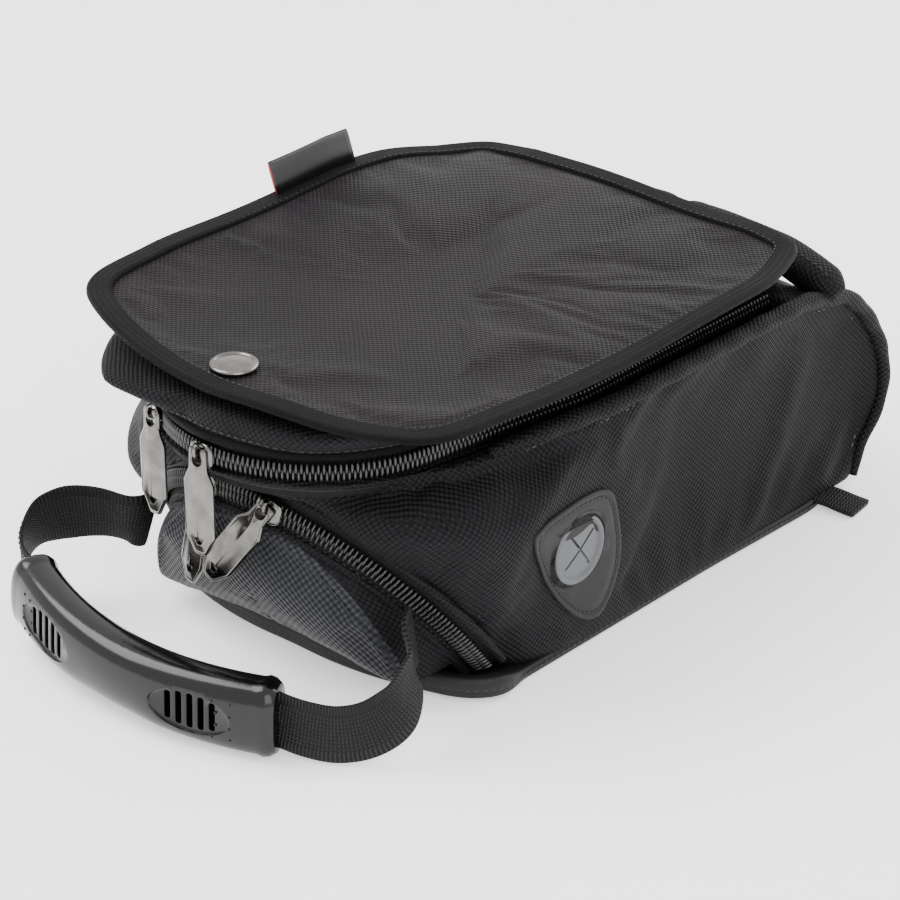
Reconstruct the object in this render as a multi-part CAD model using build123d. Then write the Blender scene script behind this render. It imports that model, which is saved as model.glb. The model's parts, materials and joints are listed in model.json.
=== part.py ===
"""Small motorcycle tank bag: padded body, zipped lid, snap-down top flap, front pocket and grab handle.

Frame: millimetres, +Z up, the base rests on z = 0, x = 0 is the plane of symmetry and the
handle end faces -Y. Every piece is built in place and written to its own STEP file.
"""
import math
import os

from build123d import *

# ---------------------------------------------------------------- driving dimensions (mm)
# body
BASE_HALF_WIDTH = 87.0
TOP_HALF_WIDTH = 92.0
BASE_FRONT_Y = -128.0
BASE_REAR_Y = 118.0
BASE_BOW = 8.0             # the front edge bows forward this much
BASE_CORNER_RADIUS = 22.0
FOOT_Y = -93.0             # foot of the leaning front wall
FRONT_LEAN = 36.9          # degrees from upright
KNEE_V = 104.0             # length of the leaning wall, up its slope
SHELF_Y = -179.0           # the wall turns forward under the mouth to here
SHELF_Z = 91.5
REAR_FOOT_Y = 128.0
REAR_ARC_Y = 75.0          # the flat top turns into the round rear here
REAR_ARC_RADIUS = 67.0
BODY_TOP_Z = 107.0
SHOULDER_Z = 80.0          # the plan is squarest here, behind the pocket's zip
SHOULDER_HALF_WIDTH = 90.7
SHOULDER_CORNER = (66.0, -146.0)
SHOULDER_FRONT_Y = -165.0
WALL = 3.5                 # padded fabric wall
PAD_THICKNESS = 3.5        # neoprene skin under the base
BOARD_THICKNESS = 2.0
BOARD_GAP = 0.5            # board edge to wall
BAND_HEIGHT = 6.0          # neoprene band at the foot of the pocket
BAND_THICKNESS = 2.0
TAB_SIZE = 18.0            # woven tab at each rear corner of the base
TAB_THICKNESS = 3.0
PIPING_RADIUS = 2.5
PIPING_GAP = 0.1
PIPING_START_Y = -40.0
REAR_ROLL_RADIUS = 7.0
REAR_ROLL_Y = 104.5
REAR_ROLL_Z = 111.0
REAR_ROLL_LENGTH = 168.0

# main zip, a U in plan: round nose, flaring sides, straight run to the rear
NOSE_RADIUS = 64.0
NOSE_CENTRE_Y = -113.0
NOSE_SWEEP = 80.0          # degrees each side of straight ahead
FLARE_END_Y = -45.0
ZIP_END_Y = 75.0
ZIP_Z = 105.0
COIL_HEIGHT = 4.0          # each half of the chain
COIL_THICKNESS = 3.0
CHAIN_GAP = 1.2            # between the two halves, where the slider's post runs
TAPE_WIDTH = 11.0
STOP_LENGTH = 2.5
TAPE_THICKNESS = 0.8
RIM_THICKNESS = 4.5        # bound edge that carries the lower tape
RIM_TOP_Z = 98.0
RIM_HEIGHT = 6.0

# lid and flap
LID_WALL = 3.0
LID_GUSSET_BOTTOM_Z = 112.0
LID_PANEL_Z = 122.0
LID_PANEL_THICKNESS = 4.0
LID_REAR_Y = 88.0
FLAP_GAP = 2.5             # lid to flap
FLAP_THICKNESS = 2.0
FLAP_FRONT_Y = -178.0
FLAP_CORNER_X = 93.0
FLAP_CORNER_Y = -150.0
FLAP_SIDE_X = 102.0
FLAP_REAR_X = 84.0
FLAP_REAR_Y = 86.0
FLAP_TAPER_Y = 35.0
FLAP_CORNER_RADIUS = 16.0
BINDING_WIDTH = 10.0
BINDING_THICKNESS = 4.0
SNAP_Y = -156.0
SNAP_CAP_RADIUS = 9.5
SNAP_CAP_HEIGHT = 2.6
SNAP_POST_RADIUS = 2.0
SOCKET_RADIUS = 6.0
SOCKET_HEIGHT = 1.7
STUD_RADIUS = 2.8
STUD_CLEARANCE = 0.6
STUD_FLANGE = 0.4
LABEL_LENGTH = 42.0
LABEL_HEIGHT = 11.0
LABEL_THICKNESS = 1.6
LABEL_Y = -18.0

# front pocket, an arch leaning with the front wall
ARCH_RADIUS = 70.0
ARCH_CENTRE_V = 24.0       # up the front wall from its foot
ARCH_FOOT_V = 11.0         # the pocket zip starts here
POCKET_WALL = 2.5
POCKET_TOP_DEPTH = 12.0
POCKET_TAPE_WIDTH = 6.0
POCKET_ZIP_OFFSET = 7.5    # chain from the arch and from the front wall

# zip sliders and pulls
SLIDER_LENGTH = 12.0
SLIDER_HEIGHT = 10.5
PLATE = 1.2
SLIDER_GAP = 0.6           # plates to coil and tape
POST_THICKNESS = 0.8
POST_LENGTH = 3.0
STAPLE_WIDTH = 1.8
STAPLE_BAR = 1.2
PIN_RADIUS = 0.9
PIN_GAP = 0.4
PULL_WIDTH = 14.0
PULL_LENGTH = 45.0
PULL_THICKNESS = 1.8
EYE_LENGTH = 4.6
EYE_WIDTH = 6.2
POCKET_PULL_TILTS = (14.0, 26.0)        # degrees the left and right pocket pulls hang to the left
MAIN_SLIDER_ANGLES = (-34.0, -1.0)      # left, right, round the nose
POCKET_SLIDER_ANGLES = (-13.0, 11.5)    # left, right, round the arch

# handle
STRAP_WIDTH = 25.0
STRAP_THICKNESS = 2.0
ANCHOR_Z = 38.0
GRIP_LEFT = (-84.0, -196.0, 24.0)
GRIP_MIDDLE = (-16.0, -212.0, 19.0)
GRIP_RIGHT = (52.0, -195.0, 16.5)
GRIP_WIDTH = 31.0
GRIP_DEPTH = 20.0
STRAP_CLEARANCE = 0.4
TAB_OUT = 4.0
GRIP_WINDOWS = (0.24, 0.76)             # along the grip, 0 to 1
WINDOW_LENGTH = 34.0
WINDOW_WIDTH = 19.0
WINDOW_DEPTH = 1.6
SLOT_COUNT = 5
SLOT_PITCH = 4.8

# cable port on the right side
PORT_Y = -62.0
PORT_Z = 46.0
PORT_RADIUS = 12.0
PORT_FLANGE = 2.2          # flange beyond the hole
PATCH_THICKNESS = 1.8
FLANGE_THICKNESS = 1.4
RING_WIDTH = 4.0
RING_THICKNESS = 1.2
SLIT_WIDTH = 0.8

BIG = 400.0
MIRROR = Plane.YZ
parts = {}


# ---------------------------------------------------------------- helpers
def slab(low, high):
    """Everything between two heights."""
    return Pos(0, 0, (low + high) / 2) * Box(BIG * 2, BIG * 2, high - low)


def block(x, y, z):
    """A box from three (low, high) pairs."""
    size = [high - low for low, high in (x, y, z)]
    centre = [(high + low) / 2 for low, high in (x, y, z)]
    return Pos(*centre) * Box(*size)


def prism_x(face):
    """A (y, z) outline drawn on Plane.YZ, extruded across the whole width."""
    return extrude(face, amount=BIG, both=True)


def solid_of(shape):
    """The largest solid of a boolean result."""
    return max(shape.solids(), key=lambda s: s.volume)


# ---------------------------------------------------------------- body outlines
NOSE_Y = NOSE_CENTRE_Y - NOSE_RADIUS
UP_FACE = Vector(0, -math.sin(math.radians(FRONT_LEAN)), math.cos(math.radians(FRONT_LEAN)))
OUT_FACE = Vector(0, -UP_FACE.Z, UP_FACE.Y)
FACE_PLANE = Plane(origin=(0, FOOT_Y, PAD_THICKNESS), x_dir=(1, 0, 0), z_dir=OUT_FACE)


def face_point(u, v, n=0.0):
    """A point u across, v up and n out from the foot of the leaning front wall."""
    return Vector(u, FOOT_Y, PAD_THICKNESS) + UP_FACE * v + OUT_FACE * n


def rear_arc_point(angle, grow=0.0):
    """A (y, z) point on the round rear of the side view, in degrees up from straight back."""
    radius = REAR_ARC_RADIUS + grow
    turn = math.radians(angle)
    return (REAR_ARC_Y + radius * math.cos(turn), BODY_TOP_Z - REAR_ARC_RADIUS + radius * math.sin(turn))


def side_profile(inset=0.0):
    """Side view of the body: leaning front with a shelf under the mouth, flat top, round rear."""
    foot = face_point(0, -PAD_THICKNESS / UP_FACE.Z)
    knee = face_point(0, KNEE_V)
    with BuildSketch(Plane.YZ) as sketch:
        with BuildLine():
            Polyline((foot.Y, foot.Z), (knee.Y, knee.Z), (SHELF_Y, SHELF_Z), (SHELF_Y, BODY_TOP_Z),
                     rear_arc_point(90))
            ThreePointArc(rear_arc_point(90), rear_arc_point(45), rear_arc_point(0))
            Polyline(rear_arc_point(0), (REAR_FOOT_Y, 0), (foot.Y, foot.Z))
        make_face()
        if inset:
            offset(amount=-inset, kind=Kind.INTERSECTION)
    return sketch.sketch


def plan_solid(grow=0.0):
    """The body's plan, from the squarish base by way of the shoulders to the round nose, as a ruled loft."""
    flare_x = NOSE_RADIUS * math.sin(math.radians(NOSE_SWEEP)) + 2.0
    flare_y = NOSE_CENTRE_Y - NOSE_RADIUS * math.cos(math.radians(NOSE_SWEEP))
    base = (0.0, BASE_HALF_WIDTH, -50.0, (BASE_HALF_WIDTH - 9, FOOT_Y - 3),
            (BASE_HALF_WIDTH - 1.5, -78.0), FOOT_Y - 8)
    shoulder = (SHOULDER_Z, SHOULDER_HALF_WIDTH, -60.0, SHOULDER_CORNER,
                (SHOULDER_HALF_WIDTH - 5.7, -105.0), SHOULDER_FRONT_Y)
    top = (BODY_TOP_Z, TOP_HALF_WIDTH, -20.0, (flare_x, flare_y), (TOP_HALF_WIDTH - 10, -72.0), NOSE_Y - 3.0)
    levels = []
    for z, half, turn_y, corner, mid, front in (base, shoulder, top):
        with BuildSketch(Plane.XY.offset(z)) as sketch:
            with BuildLine():
                Line((half, 170), (half, turn_y))
                ThreePointArc((half, turn_y), mid, corner)
                ThreePointArc(corner, (0, front), (-corner[0], corner[1]))
                ThreePointArc((-corner[0], corner[1]), (-mid[0], mid[1]), (-half, turn_y))
                Line((-half, turn_y), (-half, 170))
                Line((-half, 170), (half, 170))
            make_face()
            if grow:
                offset(amount=grow, kind=Kind.INTERSECTION)
        levels.append(sketch.sketch.faces()[0])
    return loft(levels, ruled=True)


def zip_plan(grow=0.0, rear=ZIP_END_Y):
    """Plan of the main zip's U, grown outward, as a face closed at the rear."""
    sweep_angle = math.radians(NOSE_SWEEP)
    start = (NOSE_RADIUS * math.sin(sweep_angle), NOSE_CENTRE_Y - NOSE_RADIUS * math.cos(sweep_angle))
    flare = start[0] + (FLARE_END_Y - start[1]) / math.tan(sweep_angle)
    with BuildSketch(Plane.XY) as sketch:
        with BuildLine():
            ThreePointArc(start, (0, NOSE_Y), (-start[0], start[1]))
            Line((-start[0], start[1]), (-flare, FLARE_END_Y))
            Line((-flare, FLARE_END_Y), (-flare, rear + 60))
            Line((-flare, rear + 60), (flare, rear + 60))
            Line((flare, rear + 60), (flare, FLARE_END_Y))
            Line((flare, FLARE_END_Y), start)
        make_face()
        if grow:
            offset(amount=grow, kind=Kind.INTERSECTION)
    return sketch.sketch


def zip_ring(inner, outer, low, high, rear=ZIP_END_Y):
    """A U-shaped band between two offsets of the zip line and two heights."""
    ring = zip_plan(outer, rear) - zip_plan(inner, rear)
    band = extrude(Pos(0, 0, low) * ring, amount=high - low)
    return solid_of(band & block((-BIG, BIG), (-BIG, rear), (low - 1, high + 1)))


def zip_area(grow, low, high, rear):
    """The whole area inside the zip line, as a slab."""
    area = extrude(Pos(0, 0, low) * zip_plan(grow, rear), amount=high - low)
    return area & block((-BIG, BIG), (-BIG, rear), (low - 1, high + 1))


# ---------------------------------------------------------------- pocket outlines
APEX_V = ARCH_CENTRE_V + ARCH_RADIUS


def arch_solid(radius, low, high, foot_v=0.0):
    """The arch of the pocket, extruded square to the front wall between two depths."""
    with BuildSketch(FACE_PLANE.offset(low)) as sketch:
        with Locations((0, ARCH_CENTRE_V)):
            Circle(radius)
        with Locations((0, (ARCH_CENTRE_V + foot_v) / 2)):
            Rectangle(radius * 2, ARCH_CENTRE_V - foot_v)
        with Locations((0, foot_v - BIG / 2)):
            Rectangle(BIG, BIG, mode=Mode.SUBTRACT)
    return extrude(sketch.sketch, amount=high - low)


def pocket_profile(inset=0.0):
    """Side view of the pocket: flat against the front wall, bulging forward."""
    lower = (BASE_FRONT_Y - 3, PAD_THICKNESS)
    top = face_point(0, APEX_V + 4, POCKET_TOP_DEPTH)
    back_low = face_point(0, 0)
    back_top = face_point(0, APEX_V + 4)
    with BuildSketch(Plane.YZ) as sketch:
        with BuildLine():
            Line((back_low.Y, back_low.Z), lower)
            ThreePointArc(lower, (-148, 27), (-154.5, 55))
            Line((-154.5, 55), (top.Y, top.Z))
            Line((top.Y, top.Z), (back_top.Y, back_top.Z))
            Line((back_top.Y, back_top.Z), (back_low.Y, back_low.Z))
        make_face()
        if inset:
            offset(amount=-inset, kind=Kind.INTERSECTION)
    return sketch.sketch


# ---------------------------------------------------------------- body pieces
def make_body():
    inner_plan = plan_solid(-WALL)
    outer = plan_solid() & prism_x(side_profile())
    inner = inner_plan & prism_x(side_profile(WALL))
    walls = (outer - inner) & slab(PAD_THICKNESS, BIG)
    walls -= zip_area(RIM_THICKNESS - COIL_THICKNESS / 2, RIM_TOP_Z - RIM_HEIGHT, BIG, ZIP_END_Y)

    cap = walls & inner_plan
    sides = walls - inner_plan
    port = Pos(TOP_HALF_WIDTH, PORT_Y, PORT_Z) * Rot(0, 90, 0) * Cylinder(PORT_RADIUS, 60)
    sides -= arch_solid(ARCH_RADIUS + 0.2, -WALL * 2, BIG)
    right = sides & block((0, BIG), (-BIG, BIG), (-BIG, BIG))
    left = sides & block((-BIG, 0), (-BIG, BIG), (-BIG, BIG))
    parts["side_panel_right"] = solid_of(right) - port
    parts["side_panel_left"] = solid_of(left)
    parts["front_bulkhead"] = solid_of(cap & block((-BIG, BIG), (-BIG, -20), (0, BODY_TOP_Z - WALL * 2)))
    parts["mouth_panel"] = solid_of(cap & block((-BIG, BIG), (-BIG, ZIP_END_Y + 20), (BODY_TOP_Z - WALL * 2, BIG)))
    parts["rear_panel"] = solid_of(cap & block((-BIG, BIG), (ZIP_END_Y + 20, BIG), (-BIG, BIG)))
    parts["mouth_rim"] = zip_ring(-COIL_THICKNESS / 2, RIM_THICKNESS - COIL_THICKNESS / 2,
                                  RIM_TOP_Z - RIM_HEIGHT, RIM_TOP_Z)
    board = inner & slab(PAD_THICKNESS, PAD_THICKNESS + BOARD_THICKNESS) & plan_solid(-WALL - BOARD_GAP)
    parts["base_board"] = solid_of(board)


def base_outline(grow=0.0):
    half = BASE_HALF_WIDTH
    shoulder = BASE_FRONT_Y + BASE_BOW
    with BuildSketch(Plane.XY) as sketch:
        with BuildLine():
            Line((half, shoulder), (half, BASE_REAR_Y))
            Line((half, BASE_REAR_Y), (-half, BASE_REAR_Y))
            Line((-half, BASE_REAR_Y), (-half, shoulder))
            ThreePointArc((-half, shoulder), (0, BASE_FRONT_Y), (half, shoulder))
        make_face()
        front = sketch.vertices().filter_by_position(Axis.Y, shoulder - 1, shoulder + 1)
        fillet(front, BASE_CORNER_RADIUS)
        if grow:
            offset(amount=grow)
    return sketch.sketch


def make_base():
    parts["base_pad"] = extrude(base_outline(), amount=PAD_THICKNESS)
    for name, side in (("base_tab_left", -1), ("base_tab_right", 1)):
        tab = Box(TAB_SIZE, TAB_SIZE, TAB_THICKNESS, align=(Align.MIN, Align.MAX, Align.MIN))
        tab = fillet(tab.edges().filter_by(Axis.Z), TAB_SIZE * 0.3)
        tab = Pos(BASE_HALF_WIDTH, BASE_REAR_Y, 0) * tab
        parts[name] = tab if side > 0 else tab.mirror(MIRROR)


def make_trim():
    """Piping along the side seams, the padded roll behind the flap and the band at the pocket's foot."""
    off = PIPING_RADIUS + PIPING_GAP
    for name, side in (("side_piping_left", -1), ("side_piping_right", 1)):
        x = side * (TOP_HALF_WIDTH - PIPING_RADIUS - 0.5)
        top, middle, end = [(x, *rear_arc_point(angle, off)) for angle in (90, 60, 25)]
        run = Line((x, PIPING_START_Y, top[2]), top)
        path = Wire([run, ThreePointArc(top, middle, end)])
        ring = Plane(origin=path @ 0, z_dir=path % 0) * Circle(PIPING_RADIUS)
        parts[name] = sweep(ring, path=path)
    roll = Rot(0, 90, 0) * Cylinder(REAR_ROLL_RADIUS, REAR_ROLL_LENGTH)
    roll = fillet(roll.edges(), REAR_ROLL_RADIUS * 0.8)
    parts["rear_band"] = Pos(0, REAR_ROLL_Y, REAR_ROLL_Z) * roll
    band = extrude(base_outline(), amount=BAND_HEIGHT)
    band -= extrude(base_outline(-BAND_THICKNESS), amount=BAND_HEIGHT)
    band = Pos(0, 0, PAD_THICKNESS) * band & block((-BIG, BIG), (-BIG, BASE_FRONT_Y + 18), (0, BIG))
    parts["base_band"] = solid_of(band)


def make_pocket():
    shell = arch_solid(ARCH_RADIUS, 0, 60) & prism_x(pocket_profile())
    hollow = arch_solid(ARCH_RADIUS - POCKET_WALL, -1, 60, foot_v=-10) & prism_x(pocket_profile(POCKET_WALL))
    shell -= hollow
    shell -= slab(-BIG, PAD_THICKNESS + BAND_HEIGHT)
    shell_front = shell & arch_solid(ARCH_RADIUS - POCKET_WALL, -1, 60, foot_v=-10)
    parts["pocket_panel"] = solid_of(shell_front)
    parts["pocket_gusset"] = solid_of(shell - arch_solid(ARCH_RADIUS - POCKET_WALL, -1, 60, foot_v=-10))


def pocket_zip():
    """The arched zip: tapes and coils swept round the arch, facing half forward and half outward."""
    radius = ARCH_RADIUS + POCKET_ZIP_OFFSET
    plane = FACE_PLANE.offset(POCKET_ZIP_OFFSET)
    with BuildLine(plane) as line:
        Line((radius, ARCH_FOOT_V), (radius, ARCH_CENTRE_V))
        ThreePointArc((radius, ARCH_CENTRE_V), (0, ARCH_CENTRE_V + radius), (-radius, ARCH_CENTRE_V))
        Line((-radius, ARCH_CENTRE_V), (-radius, ARCH_FOOT_V))
    path = line.wire()
    across = (Vector(1, 0, 0) - OUT_FACE).normalized()
    section = Plane(origin=path @ 0, x_dir=across, z_dir=path % 0)
    half = CHAIN_GAP / 2
    tape_y = (COIL_THICKNESS + TAPE_THICKNESS) / 2
    for name, side in (("outer", 1), ("inner", -1)):
        coil = section * Pos(side * (half + COIL_HEIGHT / 2), 0) * Rectangle(COIL_HEIGHT, COIL_THICKNESS)
        tape = section * Pos(side * (half + POCKET_TAPE_WIDTH / 2), tape_y)
        tape = tape * Rectangle(POCKET_TAPE_WIDTH, TAPE_THICKNESS)
        parts[f"pocket_coil_{name}"] = sweep(coil, path=path, transition=Transition.ROUND)
        parts[f"pocket_tape_{name}"] = sweep(tape, path=path, transition=Transition.ROUND)


def pocket_slider_place(angle):
    """Where a pocket slider sits, this many degrees round the arch from its top."""
    turn = math.radians(angle)
    outward = UP_FACE * math.cos(turn) + Vector(1, 0, 0) * math.sin(turn)
    centre = face_point(0, ARCH_CENTRE_V, POCKET_ZIP_OFFSET) + outward * (ARCH_RADIUS + POCKET_ZIP_OFFSET)
    facing = (outward + OUT_FACE).normalized()
    across = (outward - OUT_FACE).normalized()
    return Plane(origin=centre, x_dir=facing.cross(across), z_dir=across).location


def make_main_zip():
    half = CHAIN_GAP / 2
    coil_in = -COIL_THICKNESS / 2
    coil_out = COIL_THICKNESS / 2
    tape_in = coil_in - TAPE_THICKNESS
    for name, low, high in (
        ("zip_coil_lower", ZIP_Z - half - COIL_HEIGHT, ZIP_Z - half),
        ("zip_coil_upper", ZIP_Z + half, ZIP_Z + half + COIL_HEIGHT),
    ):
        parts[name] = zip_ring(coil_in, coil_out, low, high, ZIP_END_Y - STOP_LENGTH)
    for name, low, high in (
        ("zip_tape_lower", ZIP_Z - half - TAPE_WIDTH, ZIP_Z - half),
        ("zip_tape_upper", ZIP_Z + half, ZIP_Z + half + TAPE_WIDTH),
    ):
        parts[name] = zip_ring(tape_in, coil_in, low, high)
    return tape_in


def make_lid(tape_in):
    parts["lid_gusset"] = zip_ring(tape_in - LID_WALL, tape_in, LID_GUSSET_BOTTOM_Z, LID_PANEL_Z, rear=LID_REAR_Y)
    panel = zip_area(tape_in, LID_PANEL_Z, LID_PANEL_Z + LID_PANEL_THICKNESS, LID_REAR_Y)
    parts["lid_panel"] = solid_of(panel)
    top = LID_PANEL_Z + LID_PANEL_THICKNESS
    stud = Cylinder(SOCKET_RADIUS, STUD_FLANGE, align=(Align.CENTER, Align.CENTER, Align.MIN))
    stud += Cylinder(STUD_RADIUS, FLAP_GAP - 0.4, align=(Align.CENTER, Align.CENTER, Align.MIN))
    parts["snap_stud"] = Pos(0, SNAP_Y, top) * stud


def flap_outline(grow=0.0):
    with BuildSketch(Plane.XY) as sketch:
        with BuildLine():
            Line((FLAP_REAR_X, FLAP_REAR_Y), (FLAP_SIDE_X, FLAP_TAPER_Y))
            Line((FLAP_SIDE_X, FLAP_TAPER_Y), (FLAP_SIDE_X, FLAP_CORNER_Y + 55))
            Line((FLAP_SIDE_X, FLAP_CORNER_Y + 55), (FLAP_CORNER_X, FLAP_CORNER_Y))
            ThreePointArc((FLAP_CORNER_X, FLAP_CORNER_Y), (0, FLAP_FRONT_Y), (-FLAP_CORNER_X, FLAP_CORNER_Y))
            Line((-FLAP_CORNER_X, FLAP_CORNER_Y), (-FLAP_SIDE_X, FLAP_CORNER_Y + 55))
            Line((-FLAP_SIDE_X, FLAP_CORNER_Y + 55), (-FLAP_SIDE_X, FLAP_TAPER_Y))
            Line((-FLAP_SIDE_X, FLAP_TAPER_Y), (-FLAP_REAR_X, FLAP_REAR_Y))
            Line((-FLAP_REAR_X, FLAP_REAR_Y), (FLAP_REAR_X, FLAP_REAR_Y))
        make_face()
        front = sketch.vertices().filter_by_position(Axis.Y, FLAP_CORNER_Y - 1, FLAP_CORNER_Y + 1)
        fillet(front, FLAP_CORNER_RADIUS)
        if grow:
            offset(amount=grow, kind=Kind.INTERSECTION)
    return sketch.sketch


def make_flap():
    base = LID_PANEL_Z + LID_PANEL_THICKNESS + FLAP_GAP
    middle = base + FLAP_THICKNESS / 2
    hole = Pos(0, SNAP_Y, middle) * Cylinder(SNAP_POST_RADIUS, FLAP_THICKNESS * 3)
    panel = extrude(Pos(0, 0, base) * flap_outline(-BINDING_WIDTH), amount=FLAP_THICKNESS) - hole
    parts["flap_panel"] = solid_of(panel)
    rim = flap_outline() - flap_outline(-BINDING_WIDTH)
    parts["flap_binding"] = extrude(Pos(0, 0, middle - BINDING_THICKNESS / 2) * rim, amount=BINDING_THICKNESS)

    at = Pos(0, SNAP_Y, base)
    low = (Align.CENTER, Align.CENTER, Align.MIN)
    head = Cylinder(SNAP_CAP_RADIUS, SNAP_CAP_HEIGHT, align=low)
    head = chamfer(head.edges().group_by(Axis.Z)[-1], SNAP_CAP_HEIGHT * 0.4)
    cap = Pos(0, 0, FLAP_THICKNESS) * head + Cylinder(SNAP_POST_RADIUS, FLAP_THICKNESS, align=low)
    parts["snap_cap"] = at * cap
    socket = Cylinder(SOCKET_RADIUS, SOCKET_HEIGHT, align=low)
    socket -= Cylinder(STUD_RADIUS + STUD_CLEARANCE, SOCKET_HEIGHT, align=low)
    parts["snap_socket"] = at * Pos(0, 0, -SOCKET_HEIGHT) * socket

    label = Box(LABEL_THICKNESS, LABEL_LENGTH, LABEL_HEIGHT, align=(Align.MAX, Align.CENTER, Align.MIN))
    parts["loop_label"] = Pos(-FLAP_SIDE_X + BINDING_WIDTH / 2, LABEL_Y, middle + BINDING_THICKNESS / 2) * label


def slider_parts(tilt=0.0):
    """A slider and its pull in their own frame: X along the chain, Y away from the tape, Z across it."""
    front = COIL_THICKNESS / 2 + SLIDER_GAP
    back = -COIL_THICKNESS / 2 - TAPE_THICKNESS - SLIDER_GAP
    low = (Align.CENTER, Align.MIN, Align.CENTER)
    plate = Box(SLIDER_LENGTH, PLATE, SLIDER_HEIGHT, align=low)
    plate = fillet(plate.edges().filter_by(Axis.Y), SLIDER_LENGTH * 0.3)
    body = Pos(0, front, 0) * plate + Pos(0, back - PLATE, 0) * plate
    body += Pos(-SLIDER_LENGTH / 4, back, 0) * Box(POST_LENGTH, front - back, POST_THICKNESS, align=low)

    outside = front + PLATE
    pin_y = outside + PIN_GAP + PIN_RADIUS
    reach = PIN_RADIUS * 2 + PIN_GAP * 2
    pin_z = SLIDER_HEIGHT / 2 - STAPLE_BAR - PIN_GAP - PIN_RADIUS - 0.4
    top = pin_z + PIN_RADIUS + PIN_GAP
    bottom = pin_z - PIN_RADIUS - PIN_GAP
    staple = block((-STAPLE_WIDTH / 2, STAPLE_WIDTH / 2), (outside, outside + reach + STAPLE_BAR),
                   (bottom - STAPLE_BAR, top + STAPLE_BAR))
    staple -= block((-STAPLE_WIDTH, STAPLE_WIDTH), (outside, outside + reach), (bottom, top))
    body += staple

    half = PULL_WIDTH / 2
    end = pin_z - PULL_LENGTH
    with BuildSketch(Plane.XZ.offset(-pin_y - PULL_THICKNESS / 2)) as tab:
        with BuildLine():
            Polyline((-half * 0.62, pin_z), (half * 0.62, pin_z), (half, pin_z - 9), (half, end + 7),
                     (half * 0.35, end), (-half * 0.35, end), (-half, end + 7), (-half, pin_z - 9),
                     (-half * 0.62, pin_z))
        make_face()
        with Locations((0, pin_z - PIN_RADIUS / 2 - EYE_LENGTH / 2)):
            Rectangle(EYE_WIDTH, EYE_LENGTH, mode=Mode.SUBTRACT)
    pull = extrude(tab.sketch, amount=PULL_THICKNESS)
    pull = Pos(0, 0, pin_z) * Rot(0, -tilt, 0) * Pos(0, 0, -pin_z) * pull
    pull += Pos(0, pin_y, pin_z) * Rot(0, 90, 0) * Cylinder(PIN_RADIUS, half * 1.24)
    return body, pull, (0, pin_y, pin_z)


def make_sliders():
    body, pull, pin = slider_parts()
    for side, angle in zip(("left", "right"), MAIN_SLIDER_ANGLES):
        place = Pos(0, NOSE_CENTRE_Y, ZIP_Z) * Rot(0, 0, angle) * Pos(0, -NOSE_RADIUS, 0) * Rot(0, 0, 180)
        parts[f"main_slider_{side}"] = place * body
        parts[f"main_pull_{side}"] = place * pull
        report(f"main_{side}", place, pin)
    for side, angle, tilt in zip(("left", "right"), POCKET_SLIDER_ANGLES, POCKET_PULL_TILTS):
        body, pull, pin = slider_parts(tilt)
        place = pocket_slider_place(angle)
        parts[f"pocket_slider_{side}"] = place * body
        parts[f"pocket_pull_{side}"] = place * pull
        report(f"pocket_{side}", place, pin)


def report(name, place, pin):
    """Print a pull's hinge pin and axis, for the joint list."""
    centre = (place * Pos(*pin)).position
    axis = (place * Pos(1, 0, 0)).position - place.position
    print(name, "pin", [round(c, 3) for c in centre], "axis", [round(c, 6) for c in axis])


def ribbon(points, start_up, end_up):
    """A strap through points, standing on edge, its width turning from one direction to another."""
    count = len(points) - 1
    sections = []
    for i, point in enumerate(points):
        along = (points[min(i + 1, count)] - points[max(i - 1, 0)]).normalized()
        up = start_up * (1 - i / count) + end_up * (i / count)
        up = (up - along * up.dot(along)).normalized()
        plane = Plane(origin=point, x_dir=up.cross(along), z_dir=along)
        sections.append(plane * Rectangle(STRAP_THICKNESS, STRAP_WIDTH))
    return loft([section.faces()[0] for section in sections], ruled=True)


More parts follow.
